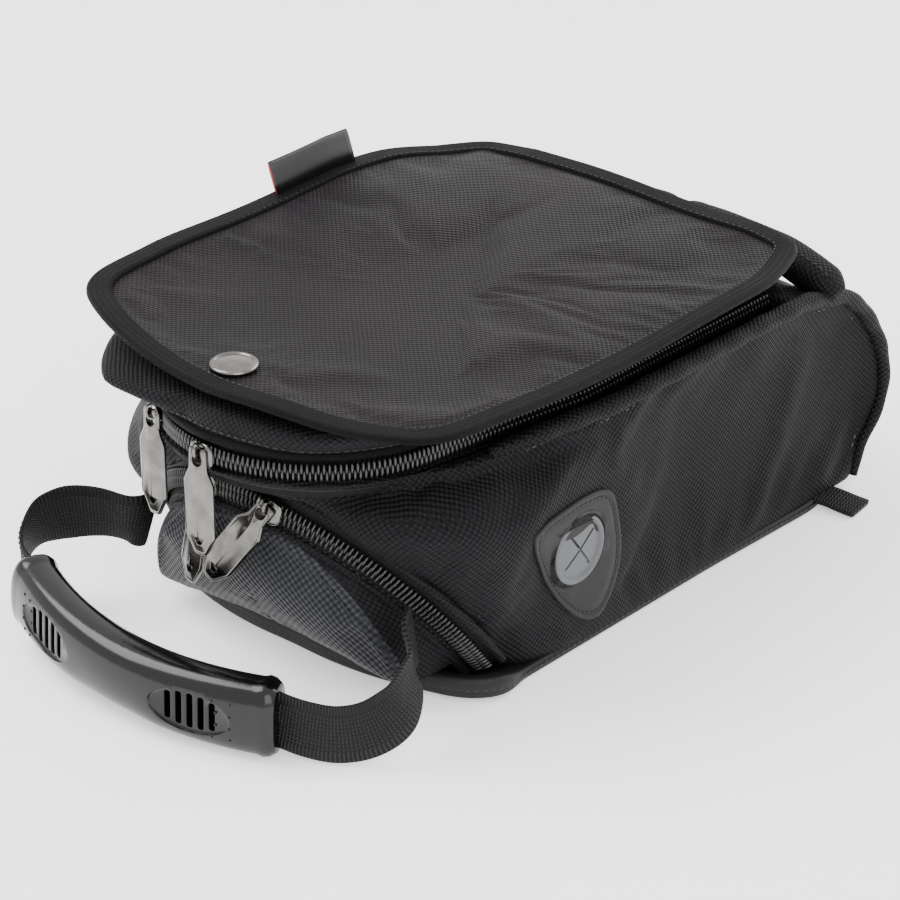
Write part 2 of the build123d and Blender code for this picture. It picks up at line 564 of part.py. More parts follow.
def make_handle():
    path = ThreePointArc(GRIP_LEFT, GRIP_MIDDLE, GRIP_RIGHT)
    forward = Vector(*GRIP_MIDDLE) - (Vector(*GRIP_LEFT) + Vector(*GRIP_RIGHT)) / 2
    plane = Plane(origin=path @ 0, x_dir=forward, z_dir=path % 0)
    slot = Rectangle(STRAP_THICKNESS + STRAP_CLEARANCE * 2, STRAP_WIDTH + STRAP_CLEARANCE * 2)
    whole = RectangleRounded(GRIP_DEPTH, GRIP_WIDTH, GRIP_DEPTH * 0.42) - slot
    for name, side in (("grip_front", 1), ("grip_rear", -1)):
        half = whole & Pos(side * GRIP_DEPTH, 0) * Rectangle(GRIP_DEPTH * 2, GRIP_WIDTH * 2)
        parts[name] = sweep((plane * half).faces(), path=path)
    up = Vector(0, 0, 1)
    core = plane * Rectangle(STRAP_THICKNESS, STRAP_WIDTH)
    parts["grip_strap"] = sweep(core, path=path)

    grip = parts["grip_front"]
    for at in GRIP_WINDOWS:
        frame = Plane(origin=path @ at, x_dir=path % at, z_dir=plane.x_dir).location
        depth = GRIP_DEPTH / 2
        window = extrude(SlotOverall(WINDOW_LENGTH, WINDOW_WIDTH), amount=WINDOW_DEPTH * 3)
        grip -= frame * Pos(0, 0, depth - WINDOW_DEPTH) * window
        for k in range(SLOT_COUNT):
            x = (k - (SLOT_COUNT - 1) / 2) * SLOT_PITCH
            slot = extrude(Pos(x, 0) * RectangleRounded(SLOT_PITCH * 0.5, WINDOW_WIDTH * 0.7, SLOT_PITCH * 0.24),
                           amount=GRIP_DEPTH)
            grip -= frame * Pos(0, 0, STRAP_THICKNESS) * slot
    parts["grip_front"] = solid_of(grip)

    seam = (face_point(0, 60) - face_point(0, 20)) * 0.01 + up * 0.6
    end = STRAP_CLEARANCE
    right = [path @ 1 + (path % 1) * end, path @ 1 + (path % 1) * 14]
    right += [Vector(*p) for p in ((75, -184, 13), (83.5, -175, 15), (88.5, -165, 22), (87, -153, 33),
                                   (79, -150, 38))]
    left = [path @ 0 - (path % 0) * end, path @ 0 - (path % 0) * 13]
    left += [Vector(*p) for p in ((-102.5, -182, 33.5), (-103, -171, 37), (-96, -161, 38.5), (-87, -152, 38.5),
                                  (-76.5, -150, 38))]
    parts["handle_webbing_right"] = ribbon(right, up, seam)
    parts["handle_webbing_left"] = ribbon(left, up, seam)
    tab = block((ARCH_RADIUS + 0.1, ARCH_RADIUS + TAB_OUT), (-154, -140),
                (ANCHOR_Z - STRAP_WIDTH / 2, ANCHOR_Z + STRAP_WIDTH / 2))
    parts["handle_tab_right"] = tab
    parts["handle_tab_left"] = tab.mirror(MIRROR)


def make_port():
    """Cable port: a rubber patch, a slit grommet through the side wall and a ring behind it."""
    with BuildSketch(Plane.YZ) as shield:
        with BuildLine():
            top_front, top_rear, tip = (-95, 72), (-42, 67), (-47, 10)
            ThreePointArc(top_front, (-68, 73), top_rear)
            ThreePointArc(top_rear, (-33, 38), tip)
            ThreePointArc(tip, (-78, 34), top_front)
        make_face()
        fillet(shield.vertices(), 6)
    surface = plan_solid()
    outer = plan_solid(PATCH_THICKNESS)
    flange_top = plan_solid(PATCH_THICKNESS + FLANGE_THICKNESS)
    along = Pos(TOP_HALF_WIDTH, PORT_Y, PORT_Z) * Rot(0, 90, 0)
    hole = along * Cylinder(PORT_RADIUS, 60)
    patch = extrude(shield.sketch, amount=BIG) & (outer - surface)
    parts["port_patch"] = solid_of(patch) - hole
    inside = plan_solid(-WALL - RING_THICKNESS)
    barrel = hole & outer - inside
    flange = along * Cylinder(PORT_RADIUS + PORT_FLANGE, 60) & (flange_top - outer)
    grommet = solid_of(barrel + flange)
    slit = along * (Box(PORT_RADIUS * 1.6, SLIT_WIDTH, 60) + Box(SLIT_WIDTH, PORT_RADIUS * 1.6, 60))
    parts["port_grommet"] = grommet - slit
    ring = along * (Cylinder(PORT_RADIUS + RING_WIDTH, 60) - Cylinder(PORT_RADIUS, 60))
    parts["port_ring"] = solid_of(ring & block((60, BIG), (-BIG, BIG), (-BIG, BIG)) & (plan_solid(-WALL) - inside))


def make_zip_ends():
    """Crimped metal stops at the two rear ends of the main zip, on the lower tape."""
    low = ZIP_Z - CHAIN_GAP / 2 - COIL_HEIGHT
    x = zip_plan().bounding_box().max.X
    for name, side in (("zip_stop_left", -1), ("zip_stop_right", 1)):
        stop = block((x - COIL_THICKNESS / 2, x + COIL_THICKNESS / 2), (ZIP_END_Y - STOP_LENGTH, ZIP_END_Y),
                     (low, low + COIL_HEIGHT))
        parts[name] = stop if side > 0 else stop.mirror(MIRROR)


make_body()
make_base()
make_trim()
make_pocket()
pocket_zip()
make_zip_ends()
tape_inside = make_main_zip()
make_lid(tape_inside)
make_flap()
make_sliders()
make_handle()
make_port()
os.makedirs("parts", exist_ok=True)
for name, shape in parts.items():
    export_step(shape, f"parts/{name}.step")
    print(name, len(shape.solids()), round(shape.volume), shape.is_valid)
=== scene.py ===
"""Looks of a compact padded motorcycle tank bag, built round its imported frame.

Lengths in the tables are millimetres; +Z up, the handle end faces -Y and the cable port +X.
"""
import json
import math

import bmesh
import bpy
import numpy as np
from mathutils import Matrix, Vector
from mathutils.bvhtree import BVHTree


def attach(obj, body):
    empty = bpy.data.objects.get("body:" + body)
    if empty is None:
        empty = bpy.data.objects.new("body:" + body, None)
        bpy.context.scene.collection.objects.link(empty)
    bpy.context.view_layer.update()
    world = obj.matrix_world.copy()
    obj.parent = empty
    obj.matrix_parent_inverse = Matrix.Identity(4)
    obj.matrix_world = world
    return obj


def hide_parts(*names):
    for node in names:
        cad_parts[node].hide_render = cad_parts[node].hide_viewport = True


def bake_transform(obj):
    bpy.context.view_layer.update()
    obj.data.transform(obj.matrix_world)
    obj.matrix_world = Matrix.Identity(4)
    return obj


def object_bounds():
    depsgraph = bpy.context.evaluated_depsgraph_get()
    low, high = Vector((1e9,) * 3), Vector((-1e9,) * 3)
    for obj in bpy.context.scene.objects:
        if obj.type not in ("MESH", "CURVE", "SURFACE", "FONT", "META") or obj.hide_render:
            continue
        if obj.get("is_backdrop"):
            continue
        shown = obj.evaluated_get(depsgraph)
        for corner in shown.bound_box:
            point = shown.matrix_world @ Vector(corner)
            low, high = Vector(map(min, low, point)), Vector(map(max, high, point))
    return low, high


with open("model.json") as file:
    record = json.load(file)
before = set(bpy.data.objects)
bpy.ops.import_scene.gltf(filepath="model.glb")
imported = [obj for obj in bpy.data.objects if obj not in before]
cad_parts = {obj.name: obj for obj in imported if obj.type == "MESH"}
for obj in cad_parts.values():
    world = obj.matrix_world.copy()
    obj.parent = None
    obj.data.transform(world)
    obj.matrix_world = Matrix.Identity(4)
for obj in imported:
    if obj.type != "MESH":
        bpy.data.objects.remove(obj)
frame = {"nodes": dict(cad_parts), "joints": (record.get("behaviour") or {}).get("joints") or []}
CAD_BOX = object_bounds()
MM = 0.001
UP = np.array((0.0, 0.0, 1.0))
JOINTS = {joint["name"]: joint for joint in frame["joints"]}

# ---------------------------------------------------------------- camera, floor and lamps
camera = bpy.data.objects.new("camera", bpy.data.cameras.new("camera"))
camera.data.lens = 144.0
camera.data.sensor_width = 36.0
camera.data.clip_end = 20.0
camera.location = Vector((872.9, -1026.3, 738.5)) * MM
AIM = Vector((9.9, -49.5, 60.0)) * MM
camera.rotation_euler = (AIM - camera.location).to_track_quat("-Z", "Y").to_euler()
bpy.context.scene.collection.objects.link(camera)
bpy.context.scene.camera = camera


def add_lamp(name, place, aim, size, watts, tint=(1.0, 1.0, 1.0)):
    data = bpy.data.lights.new(name, "AREA")
    data.shape = "RECTANGLE"
    data.size, data.size_y = size
    data.energy = watts
    data.color = tint
    lamp = bpy.data.objects.new(name, data)
    lamp.location = place
    lamp.rotation_euler = (Vector(aim) - Vector(place)).to_track_quat("-Z", "Y").to_euler()
    bpy.context.scene.collection.objects.link(lamp)


add_lamp("key_softbox", (-0.75, -0.55, 1.25), (0, 0, 0.05), (1.0, 1.0), 26.0)
add_lamp("fill_softbox", (1.3, -0.75, 0.8), (0, 0, 0.05), (1.1, 1.1), 13.0)
add_lamp("back_softbox", (0.3, 1.3, 1.0), (0, 0, 0.08), (1.4, 0.8), 16.0)

world = bpy.data.worlds.new("studio")
world.use_nodes = True
world.node_tree.nodes["Background"].inputs["Color"].default_value = (1.0, 1.0, 1.0, 1.0)
world.node_tree.nodes["Background"].inputs["Strength"].default_value = 1.6
bpy.context.scene.world = world


# ---------------------------------------------------------------- shader helpers
class Graph:
    """Short calls for building a node tree."""

    def __init__(self, tree):
        self.tree = tree

    def add(self, kind, inputs=None, **settings):
        made = self.tree.nodes.new(kind)
        for key, value in settings.items():
            setattr(made, key, value)
        for key, value in (inputs or {}).items():
            self.feed(made.inputs[key], value)
        return made

    def feed(self, socket, value):
        if isinstance(value, bpy.types.NodeSocket):
            self.tree.links.new(value, socket)
        else:
            socket.default_value = value

    def math(self, operation, a, b=0.0, c=0.0, clamp=False):
        made = self.add("ShaderNodeMath", operation=operation, use_clamp=clamp)
        for socket, value in zip(made.inputs, (a, b, c)):
            self.feed(socket, value)
        return made.outputs[0]

    def mix(self, factor, a, b):
        made = self.add("ShaderNodeMix", data_type="RGBA")
        self.feed(made.inputs["Factor"], factor)
        self.feed(made.inputs["A"], a)
        self.feed(made.inputs["B"], b)
        return made.outputs["Result"]

    def noise(self, vector, scale, detail=3.0, roughness=0.55):
        made = self.add("ShaderNodeTexNoise", {"Vector": vector, "Scale": scale, "Detail": detail,
                                                "Roughness": roughness})
        return made.outputs["Fac"]


def new_group(name, inputs, outputs):
    """An empty shader group with (name, socket type, default) inputs and (name, type) outputs."""
    tree = bpy.data.node_groups.new(name, "ShaderNodeTree")
    for label, kind, value in inputs:
        socket = tree.interface.new_socket(label, in_out="INPUT", socket_type=kind)
        if value is not None:
            socket.default_value = value
    for label, kind in outputs:
        tree.interface.new_socket(label, in_out="OUTPUT", socket_type=kind)
    graph = Graph(tree)
    return tree, graph, graph.add("NodeGroupInput"), graph.add("NodeGroupOutput")


FLOAT, COLOR, VECTOR = "NodeSocketFloat", "NodeSocketColor", "NodeSocketVector"


def build_basket_group():
    """Basket weave on any surface, from object coordinates laid on by the way the face points; its Shade output is
    painted shade between the yarns and painted highlight on their tops.
    """
    tree, g, put_in, put_out = new_group(
        "basket weave",
        [("Pitch", FLOAT, 0.0014), ("Unevenness", FLOAT, 0.25)],
        [("Height", FLOAT), ("Shade", FLOAT)])
    place = g.add("ShaderNodeTexCoord").outputs["Object"]
    wobble = g.add("ShaderNodeTexNoise", {"Vector": place, "Scale": 60.0, "Detail": 1.0})
    drift = g.add("ShaderNodeVectorMath", {0: wobble.outputs["Color"], 1: (0.0012, 0.0012, 0.0012)},
                  operation="MULTIPLY").outputs[0]
    place = g.add("ShaderNodeVectorMath", {0: place, 1: drift}, operation="ADD").outputs[0]
    spread = g.math("DIVIDE", math.pi, put_in.outputs["Pitch"])
    scaled = g.add("ShaderNodeVectorMath", {0: place, "Scale": spread}, operation="SCALE").outputs[0]
    axes = g.add("ShaderNodeSeparateXYZ", {0: scaled})
    waves = [g.math("SINE", axes.outputs[k]) for k in range(3)]
    facing = g.add("ShaderNodeNewGeometry").outputs["True Normal"]
    facing = g.add("ShaderNodeVectorTransform", {0: facing}, vector_type="NORMAL",
                   convert_from="WORLD", convert_to="OBJECT").outputs[0]
    parts = g.add("ShaderNodeSeparateXYZ", {0: facing})
    weights = [g.math("POWER", g.math("ABSOLUTE", parts.outputs[k]), 6.0) for k in range(3)]
    total = g.math("ADD", g.math("ADD", weights[0], weights[1]), weights[2])
    over = 0.0
    for k in range(3):
        woven = g.math("MULTIPLY", waves[(k + 1) % 3], waves[(k + 2) % 3])
        over = g.math("ADD", over, g.math("MULTIPLY", woven, weights[k]))
    over = g.math("DIVIDE", over, total)
    height = g.math("MULTIPLY_ADD", over, 0.5, 0.5)
    patchy = g.noise(place, 420.0, 2.0)
    uneven = g.math("MULTIPLY", g.math("SUBTRACT", patchy, 0.5), put_in.outputs["Unevenness"])
    height = g.math("ADD", height, uneven, clamp=True)
    g.feed(put_out.inputs["Height"], height)
    # Shade: painted shade in the hollows between the yarns, painted highlight on the yarn tops.
    g.feed(put_out.inputs["Shade"], g.math("POWER", height, 1.6))
    return tree


def build_herringbone_group():
    """Herringbone ribs from the piece's own UV, which is in centimetres along and across; its Shade output is painted
    shade in the grooves and painted highlight on the rib tops.
    """
    tree, g, put_in, put_out = new_group(
        "herringbone",
        [("Ribs per cm", FLOAT, 9.0), ("Rows per cm", FLOAT, 2.2), ("Slope", FLOAT, 1.0)],
        [("Height", FLOAT), ("Shade", FLOAT)])
    place = g.add("ShaderNodeUVMap").outputs["UV"]
    axes = g.add("ShaderNodeSeparateXYZ", {0: place})
    across = g.math("MULTIPLY", axes.outputs[1], put_in.outputs["Rows per cm"])
    saw = g.math("PINGPONG", across, 0.5)
    lean = g.math("DIVIDE", g.math("MULTIPLY", saw, put_in.outputs["Slope"]), put_in.outputs["Rows per cm"])
    run = g.math("ADD", axes.outputs[0], lean)
    rib = g.math("SINE", g.math("MULTIPLY", g.math("MULTIPLY", run, put_in.outputs["Ribs per cm"]), math.tau))
    height = g.math("MULTIPLY_ADD", rib, 0.5, 0.5)
    valley = g.math("SMOOTH_MIN", g.math("MULTIPLY", saw, 8.0), 1.0, 0.4)
    height = g.math("MULTIPLY", height, valley)
    g.feed(put_out.inputs["Height"], height)
    # Shade: painted shade in the grooves, painted highlight on the rib tops.
    g.feed(put_out.inputs["Shade"], g.math("POWER", height, 1.4))
    return tree


def build_tone_and_sheen_group():
    """Slow light and dark patches of tone and a mask of fine specks, from object coordinates; where a material turns
    the patches up, as on the flap, they are painted sheen.
    """
    tree, g, put_in, put_out = new_group(
        "tone patches and painted sheen", [("Size", FLOAT, 14.0), ("Strength", FLOAT, 0.4)],
        [("Patches", FLOAT), ("Specks", FLOAT)])
    place = g.add("ShaderNodeTexCoord").outputs["Object"]
    slow = g.noise(place, put_in.outputs["Size"], 4.0, 0.6)
    # Slow patches: random tone, and painted sheen where a material turns them up (the flap).
    patches = g.math("MULTIPLY", g.math("SUBTRACT", slow, 0.5), put_in.outputs["Strength"])
    fine = g.noise(place, 900.0, 2.0, 0.7)
    specks = g.math("GREATER_THAN", fine, 0.73)
    g.feed(put_out.inputs["Patches"], patches)
    g.feed(put_out.inputs["Specks"], specks)
    return tree


BASKET = build_basket_group()
HERRINGBONE = build_herringbone_group()
TONE_AND_SHEEN = build_tone_and_sheen_group()


def use_group(g, tree, **values):
    made = g.add("ShaderNodeGroup", node_tree=tree)
    for key, value in values.items():
        g.feed(made.inputs[key.replace("_", " ")], value)
    return made


def material(name, roughness=0.6, **sockets):
    """A new Principled material; sockets are its plain numbers. Returns (material, graph, shader)."""
    made = bpy.data.materials.new(name)
    made.use_nodes = True
    shader = made.node_tree.nodes["Principled BSDF"]
    shader.inputs["Roughness"].default_value = roughness
    for key, value in sockets.items():
        shader.inputs[key.replace("_", " ")].default_value = value
    return made, Graph(made.node_tree), shader


def bump(g, shader, height, distance, strength=1.0):
    made = g.add("ShaderNodeBump", {"Height": height, "Distance": distance, "Strength": strength})
    g.feed(shader.inputs["Normal"], made.outputs[0])


def woven(name, low, high, pitch, depth, roughness=0.62, patch_and_sheen_strength=0.35, uneven=0.3, **sockets):
    """Coarse nylon: painted shade between the yarns and painted highlight on top of them, plus slow tone patches."""
    made, g, shader = material(name, roughness, **sockets)
    weave = use_group(g, BASKET, Pitch=pitch, Unevenness=uneven)
    tone_and_sheen_patches = use_group(g, TONE_AND_SHEEN, Size=16.0, Strength=patch_and_sheen_strength)
    # tone: painted yarn shade and highlight, plus slow patches that are painted sheen where turned up (the flap).
    tone = g.math("ADD", weave.outputs["Shade"], tone_and_sheen_patches.outputs["Patches"], clamp=True)
    colour = g.mix(tone, (*low, 1.0), (*high, 1.0))
    g.feed(shader.inputs["Base Color"], colour)
    g.feed(shader.inputs["Roughness"], g.math("MULTIPLY_ADD", weave.outputs["Height"], -0.16, roughness + 0.08))
    bump(g, shader, weave.outputs["Height"], depth)
    return made


def ribbed(name, low, high, ribs, rows, slope, depth, roughness=0.6, **sockets):
    """Webbing or binding tape, ribbed along its own length, coloured with painted shade in the grooves and painted
    highlight on the rib tops.
    """
    made, g, shader = material(name, roughness, **sockets)
    weave = use_group(g, HERRINGBONE, Ribs_per_cm=ribs, Rows_per_cm=rows, Slope=slope)
    tone_and_sheen_patches = use_group(g, TONE_AND_SHEEN, Size=30.0, Strength=0.3)
    # tone: painted rib shade and highlight, plus slow tone patches.
    tone = g.math("ADD", weave.outputs["Shade"], tone_and_sheen_patches.outputs["Patches"], clamp=True)
    g.feed(shader.inputs["Base Color"], g.mix(tone, (*low, 1.0), (*high, 1.0)))
    g.feed(shader.inputs["Roughness"], g.math("MULTIPLY_ADD", weave.outputs["Height"], -0.12, roughness + 0.05))
    bump(g, shader, weave.outputs["Height"], depth)
    return made


def moulded(name, low, high, roughness, spread, grain, depth, **sockets):
    """Plastic, rubber or metal: a fine grain in its gloss and its surface."""
    made, g, shader = material(name, roughness, **sockets)
    place = g.add("ShaderNodeTexCoord").outputs["Object"]
    tone_and_sheen_patches = use_group(g, TONE_AND_SHEEN, Size=25.0, Strength=0.8)
    fine = g.noise(place, grain, 3.0)
    tone = g.math("ADD", g.math("MULTIPLY", fine, 0.6), g.math("ADD", tone_and_sheen_patches.outputs["Patches"], 0.2), clamp=True)
    g.feed(shader.inputs["Base Color"], g.mix(tone, (*low, 1.0), (*high, 1.0)))
    g.feed(shader.inputs["Roughness"], g.math("MULTIPLY_ADD", tone, spread, roughness - spread / 2))
    bump(g, shader, fine, depth)
    return made


# In these woven nylons the pale colour on the yarn tops is painted highlight and the dark colour between the yarns is
# painted shade.
NYLON = woven("charcoal ballistic nylon", (0.0006, 0.0006, 0.0009), (0.0105, 0.0105, 0.0130), 0.00125, 0.0005,
              Sheen_Weight=0.01, Sheen_Roughness=0.4, Specular_IOR_Level=0.12)
POCKET_NYLON = woven("pocket ballistic nylon", (0.0015, 0.0015, 0.002), (0.040, 0.043, 0.052), 0.0016, 0.0006,
                     roughness=0.52, Sheen_Weight=0.05, Sheen_Roughness=0.35, Specular_IOR_Level=0.2)
# The flap's slow patches, turned up to 0.8, are painted sheen.
FLAP_NYLON = woven("aubergine coated nylon", (0.0006, 0.0003, 0.0006), (0.0125, 0.0080, 0.0118), 0.00125, 0.0004,
                   roughness=0.5, patch_and_sheen_strength=0.8, Sheen_Weight=0.02, Sheen_Roughness=0.3, Specular_IOR_Level=0.13)
LINING = woven("plain black lining", (0.010, 0.010, 0.011), (0.020, 0.020, 0.022), 0.0007, 0.0001)
BINDING = ribbed("black herringbone binding", (0.0003, 0.0003, 0.0003), (0.0085, 0.0085, 0.0090), 8.5, 4.2, 1.6, 0.0008,
                 Specular_IOR_Level=0.1)
WEBBING = ribbed("black grosgrain webbing", (0.001, 0.001, 0.001), (0.016, 0.016, 0.017), 7.0, 3.3, 0.45, 0.0005,
                 Specular_IOR_Level=0.2)
TAPE = ribbed("woven zip tape", (0.001, 0.001, 0.001), (0.009, 0.009, 0.010), 12.0, 12.0, 0.6, 0.00012,
              Specular_IOR_Level=0.15)
SATIN = ribbed("black satin label", (0.002, 0.002, 0.002), (0.010, 0.010, 0.010), 30.0, 1.0, 0.2, 0.00003, 0.35)
RED_EDGE = ribbed("red woven edge", (0.16, 0.008, 0.010), (0.35, 0.02, 0.02), 30.0, 1.0, 0.2, 0.00003, 0.5)
COIL = moulded("nylon coil", (0.003, 0.003, 0.0035), (0.010, 0.010, 0.011), 0.28, 0.1, 1800.0, 0.00002,
               Specular_IOR_Level=0.6)
THREAD = moulded("black thread", (0.004, 0.004, 0.004), (0.014, 0.014, 0.015), 0.5, 0.1, 4000.0, 0.00004)
PALE_THREAD = moulded("grey thread", (0.035, 0.035, 0.038), (0.08, 0.08, 0.083), 0.5, 0.1, 4000.0, 0.00004)
NEOPRENE = moulded("smooth neoprene", (0.004, 0.0035, 0.0035), (0.011, 0.010, 0.0095), 0.55, 0.1, 700.0, 0.00006,
                   Specular_IOR_Level=0.25)
NICKEL = moulded("gunmetal nickel", (0.01, 0.01, 0.01), (0.30, 0.29, 0.27), 0.18, 0.12, 150.0, 0.00004,
                 Metallic=1.0)
GLOSS_PLASTIC = moulded("glossy black plastic", (0.0010, 0.0010, 0.0012), (0.003, 0.003, 0.0035), 0.17, 0.08, 350.0,
                        0.00004, Specular_IOR_Level=0.38)
PATCH_RUBBER = moulded("matt port rubber", (0.005, 0.005, 0.0055), (0.013, 0.013, 0.014), 0.62, 0.12, 1500.0, 0.00006,
                       Specular_IOR_Level=0.3)
GROMMET_RUBBER = moulded("grey grommet rubber", (0.05, 0.052, 0.058), (0.10, 0.102, 0.11), 0.5, 0.12, 900.0, 0.00005)
BOARD = moulded("stiffener board", (0.05, 0.05, 0.055), (0.09, 0.09, 0.095), 0.7, 0.1, 300.0, 0.00005)
FLOOR = moulded("pale paper floor", (0.93, 0.93, 0.93), (0.97, 0.97, 0.97), 0.8, 0.05, 20.0, 0.00001,
                 Emission_Strength=0.6)
FLOOR.node_tree.nodes["Principled BSDF"].inputs["Emission Color"].default_value = (1.0, 1.0, 1.0, 1.0)


# ---------------------------------------------------------------- mesh helpers
def unit(vectors):
    return vectors / np.maximum(np.linalg.norm(vectors, axis=-1, keepdims=True), 1e-9)


def make_mesh(name, verts, faces, skin, uvs=None, recalc=True):
    """A mesh object from millimetre points. uvs holds one (u, v) for each vertex, in centimetres."""
    mesh = bpy.data.meshes.new(name)
    mesh.from_pydata((np.asarray(verts, float) * MM).tolist(), [], [tuple(int(i) for i in f) for f in faces])
    mesh.materials.append(skin)
    if uvs is not None:
        layer = mesh.uv_layers.new(name="UVMap")
        index = np.empty(len(mesh.loops), np.int32)
        mesh.loops.foreach_get("vertex_index", index)
        layer.data.foreach_set("uv", np.asarray(uvs, np.float32)[index].ravel())
    if recalc:
        bm = bmesh.new()
        bm.from_mesh(mesh)
        bmesh.ops.recalc_face_normals(bm, faces=bm.faces)
        bm.to_mesh(mesh)
        bm.free()
    mesh.polygons.foreach_set("use_smooth", [True] * len(mesh.polygons))
    made = bpy.data.objects.new(name, mesh)
    bpy.context.scene.collection.objects.link(made)
    return made


def grid_faces(rows, cols, wrap):
    r, c = np.meshgrid(np.arange(rows - 1), np.arange(cols if wrap else cols - 1), indexing="ij")
    a = r * cols + c
    b = r * cols + (c + 1) % cols
    return np.stack([a, b, b + cols, a + cols], -1).reshape(-1, 4).tolist()


def grid_piece(name, grid, skin, wrap=True, cap_start=True, cap_end=True, uvs=None):
    """Rows of points skinned with quads, the ends closed by fans."""
    rows, cols = grid.shape[:2]
    verts = grid.reshape(-1, 3)
    faces = grid_faces(rows, cols, wrap)
    extra_uv = []
    for wanted, row in ((cap_start, 0), (cap_end, rows - 1)):
        if wanted:
            verts = np.vstack([verts, grid[row].mean(0)])
            faces += [(row * cols + k, row * cols + (k + 1) % cols, len(verts) - 1) for k in range(cols)]
            if uvs is not None:
                extra_uv.append(uvs[row].mean(0))
    flat = None if uvs is None else np.vstack([uvs.reshape(-1, 2), *[e[None] for e in extra_uv]])
    return make_mesh(name, verts, faces, skin, flat)


def lengths_along(path, closed=False):
    ring = np.vstack([path, path[:1]]) if closed else path
    return np.concatenate([[0.0], np.cumsum(np.linalg.norm(np.diff(ring, axis=0), axis=1))])


def spaced(path, step=None, count=None, closed=False):
    """The path again with evenly spaced points."""
    path = np.asarray(path, float)
    ring = np.vstack([path, path[:1]]) if closed else path
    along = lengths_along(path, closed)
    count = count or max(2, int(round(along[-1] / step)) + 1)
    at = np.linspace(0, along[-1], count + (1 if closed else 0))
    if closed:
        at = at[:-1]
    return np.stack([np.interp(at, along, ring[:, k]) for k in range(path.shape[1])], 1)


def smoothed(path, step, closed=False):
    """A round curve through the points (Catmull-Rom), evenly spaced."""
    p = np.asarray(path, float)
    if closed:
        ext = np.vstack([p[-1:], p, p[:2]])
    else:
        ext = np.vstack([2 * p[:1] - p[1:2], p, 2 * p[-1:] - p[-2:-1]])
    t = np.linspace(0, 1, 17)[:-1, None]
    out = []
    for i in range(1, len(ext) - 2):
        a, b, c, d = ext[i - 1], ext[i], ext[i + 1], ext[i + 2]
        out.append(0.5 * (2 * b + (c - a) * t + (2 * a - 5 * b + 4 * c - d) * t ** 2
                          + (3 * b - a - 3 * c + d) * t ** 3))
    if not closed:
        out.append(p[-1:])
    return spaced(np.vstack(out), step=step, closed=closed)


def blurred(path, passes, closed=False):
    """Neighbour averaging, ends kept unless closed."""
    p = np.array(path, float)
    for _ in range(passes):
        if closed:
            p = (np.roll(p, 1, 0) + 2 * p + np.roll(p, -1, 0)) / 4
        else:
            p[1:-1] = (p[:-2] + 2 * p[1:-1] + p[2:]) / 4
    return p


def frames_along(path, ups, closed=False):
    tangent = np.roll(path, -1, 0) - np.roll(path, 1, 0) if closed else np.gradient(path, axis=0)
    tangent = unit(tangent)
    ups = np.broadcast_to(np.asarray(ups, float), path.shape)
    side = unit(np.cross(tangent, ups))
    return tangent, side, np.cross(side, tangent)


def sweep(name, path, ups, profile, skin, closed=False):
    """A closed profile of (side, up) points carried along a path."""
    path = np.asarray(path, float)
    profile = np.broadcast_to(np.asarray(profile, float), (len(path),) + np.shape(profile)[-2:])
    _, side, up = frames_along(path, ups, closed)
    grid = path[:, None] + side[:, None] * profile[..., :1] + up[:, None] * profile[..., 1:]
    along = lengths_along(path)
    around = lengths_along(profile[0])
    if closed:
        grid = np.concatenate([grid, grid[:1]])
        along = lengths_along(path, True)
    uvs = np.stack(np.meshgrid(along / 10, around / 10, indexing="ij"), -1)
    made = grid_piece(name, grid, skin, True, not closed, not closed, uvs)
    if closed:
        bm = bmesh.new()
        bm.from_mesh(made.data)
        bmesh.ops.remove_doubles(bm, verts=bm.verts, dist=1e-6)
        bmesh.ops.recalc_face_normals(bm, faces=bm.faces)
        bm.to_mesh(made.data)
        bm.free()
    return made


def band_profile(width, thickness, steps=3):
    """A flat strap's section with rounded edges."""
    r = thickness / 2
    angles = np.linspace(-90, 90, steps + 2)
    right = [(width / 2 - r + r * math.cos(math.radians(a)), r * math.sin(math.radians(a))) for a in angles]
    return np.array(right + [(-x, -y) for x, y in right])


def round_profile(radius, count=12, squash=1.0):
    a = np.linspace(0, math.tau, count, endpoint=False)
    return np.stack([radius * np.cos(a), radius * squash * np.sin(a)], 1)


def finish_piece(obj, body, slot, *replaced):
    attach(obj, body)
    if replaced:
        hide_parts(*replaced)
    return obj


def join_pieces(name, objects):
    """One object from several, at the origin."""
    bpy.ops.object.select_all(action="DESELECT")
    for o in objects:
        o.select_set(True)
    bpy.context.view_layer.objects.active = objects[0]
    bpy.ops.object.join()
    objects[0].name = name
    objects[0].data.name = name
    return objects[0]


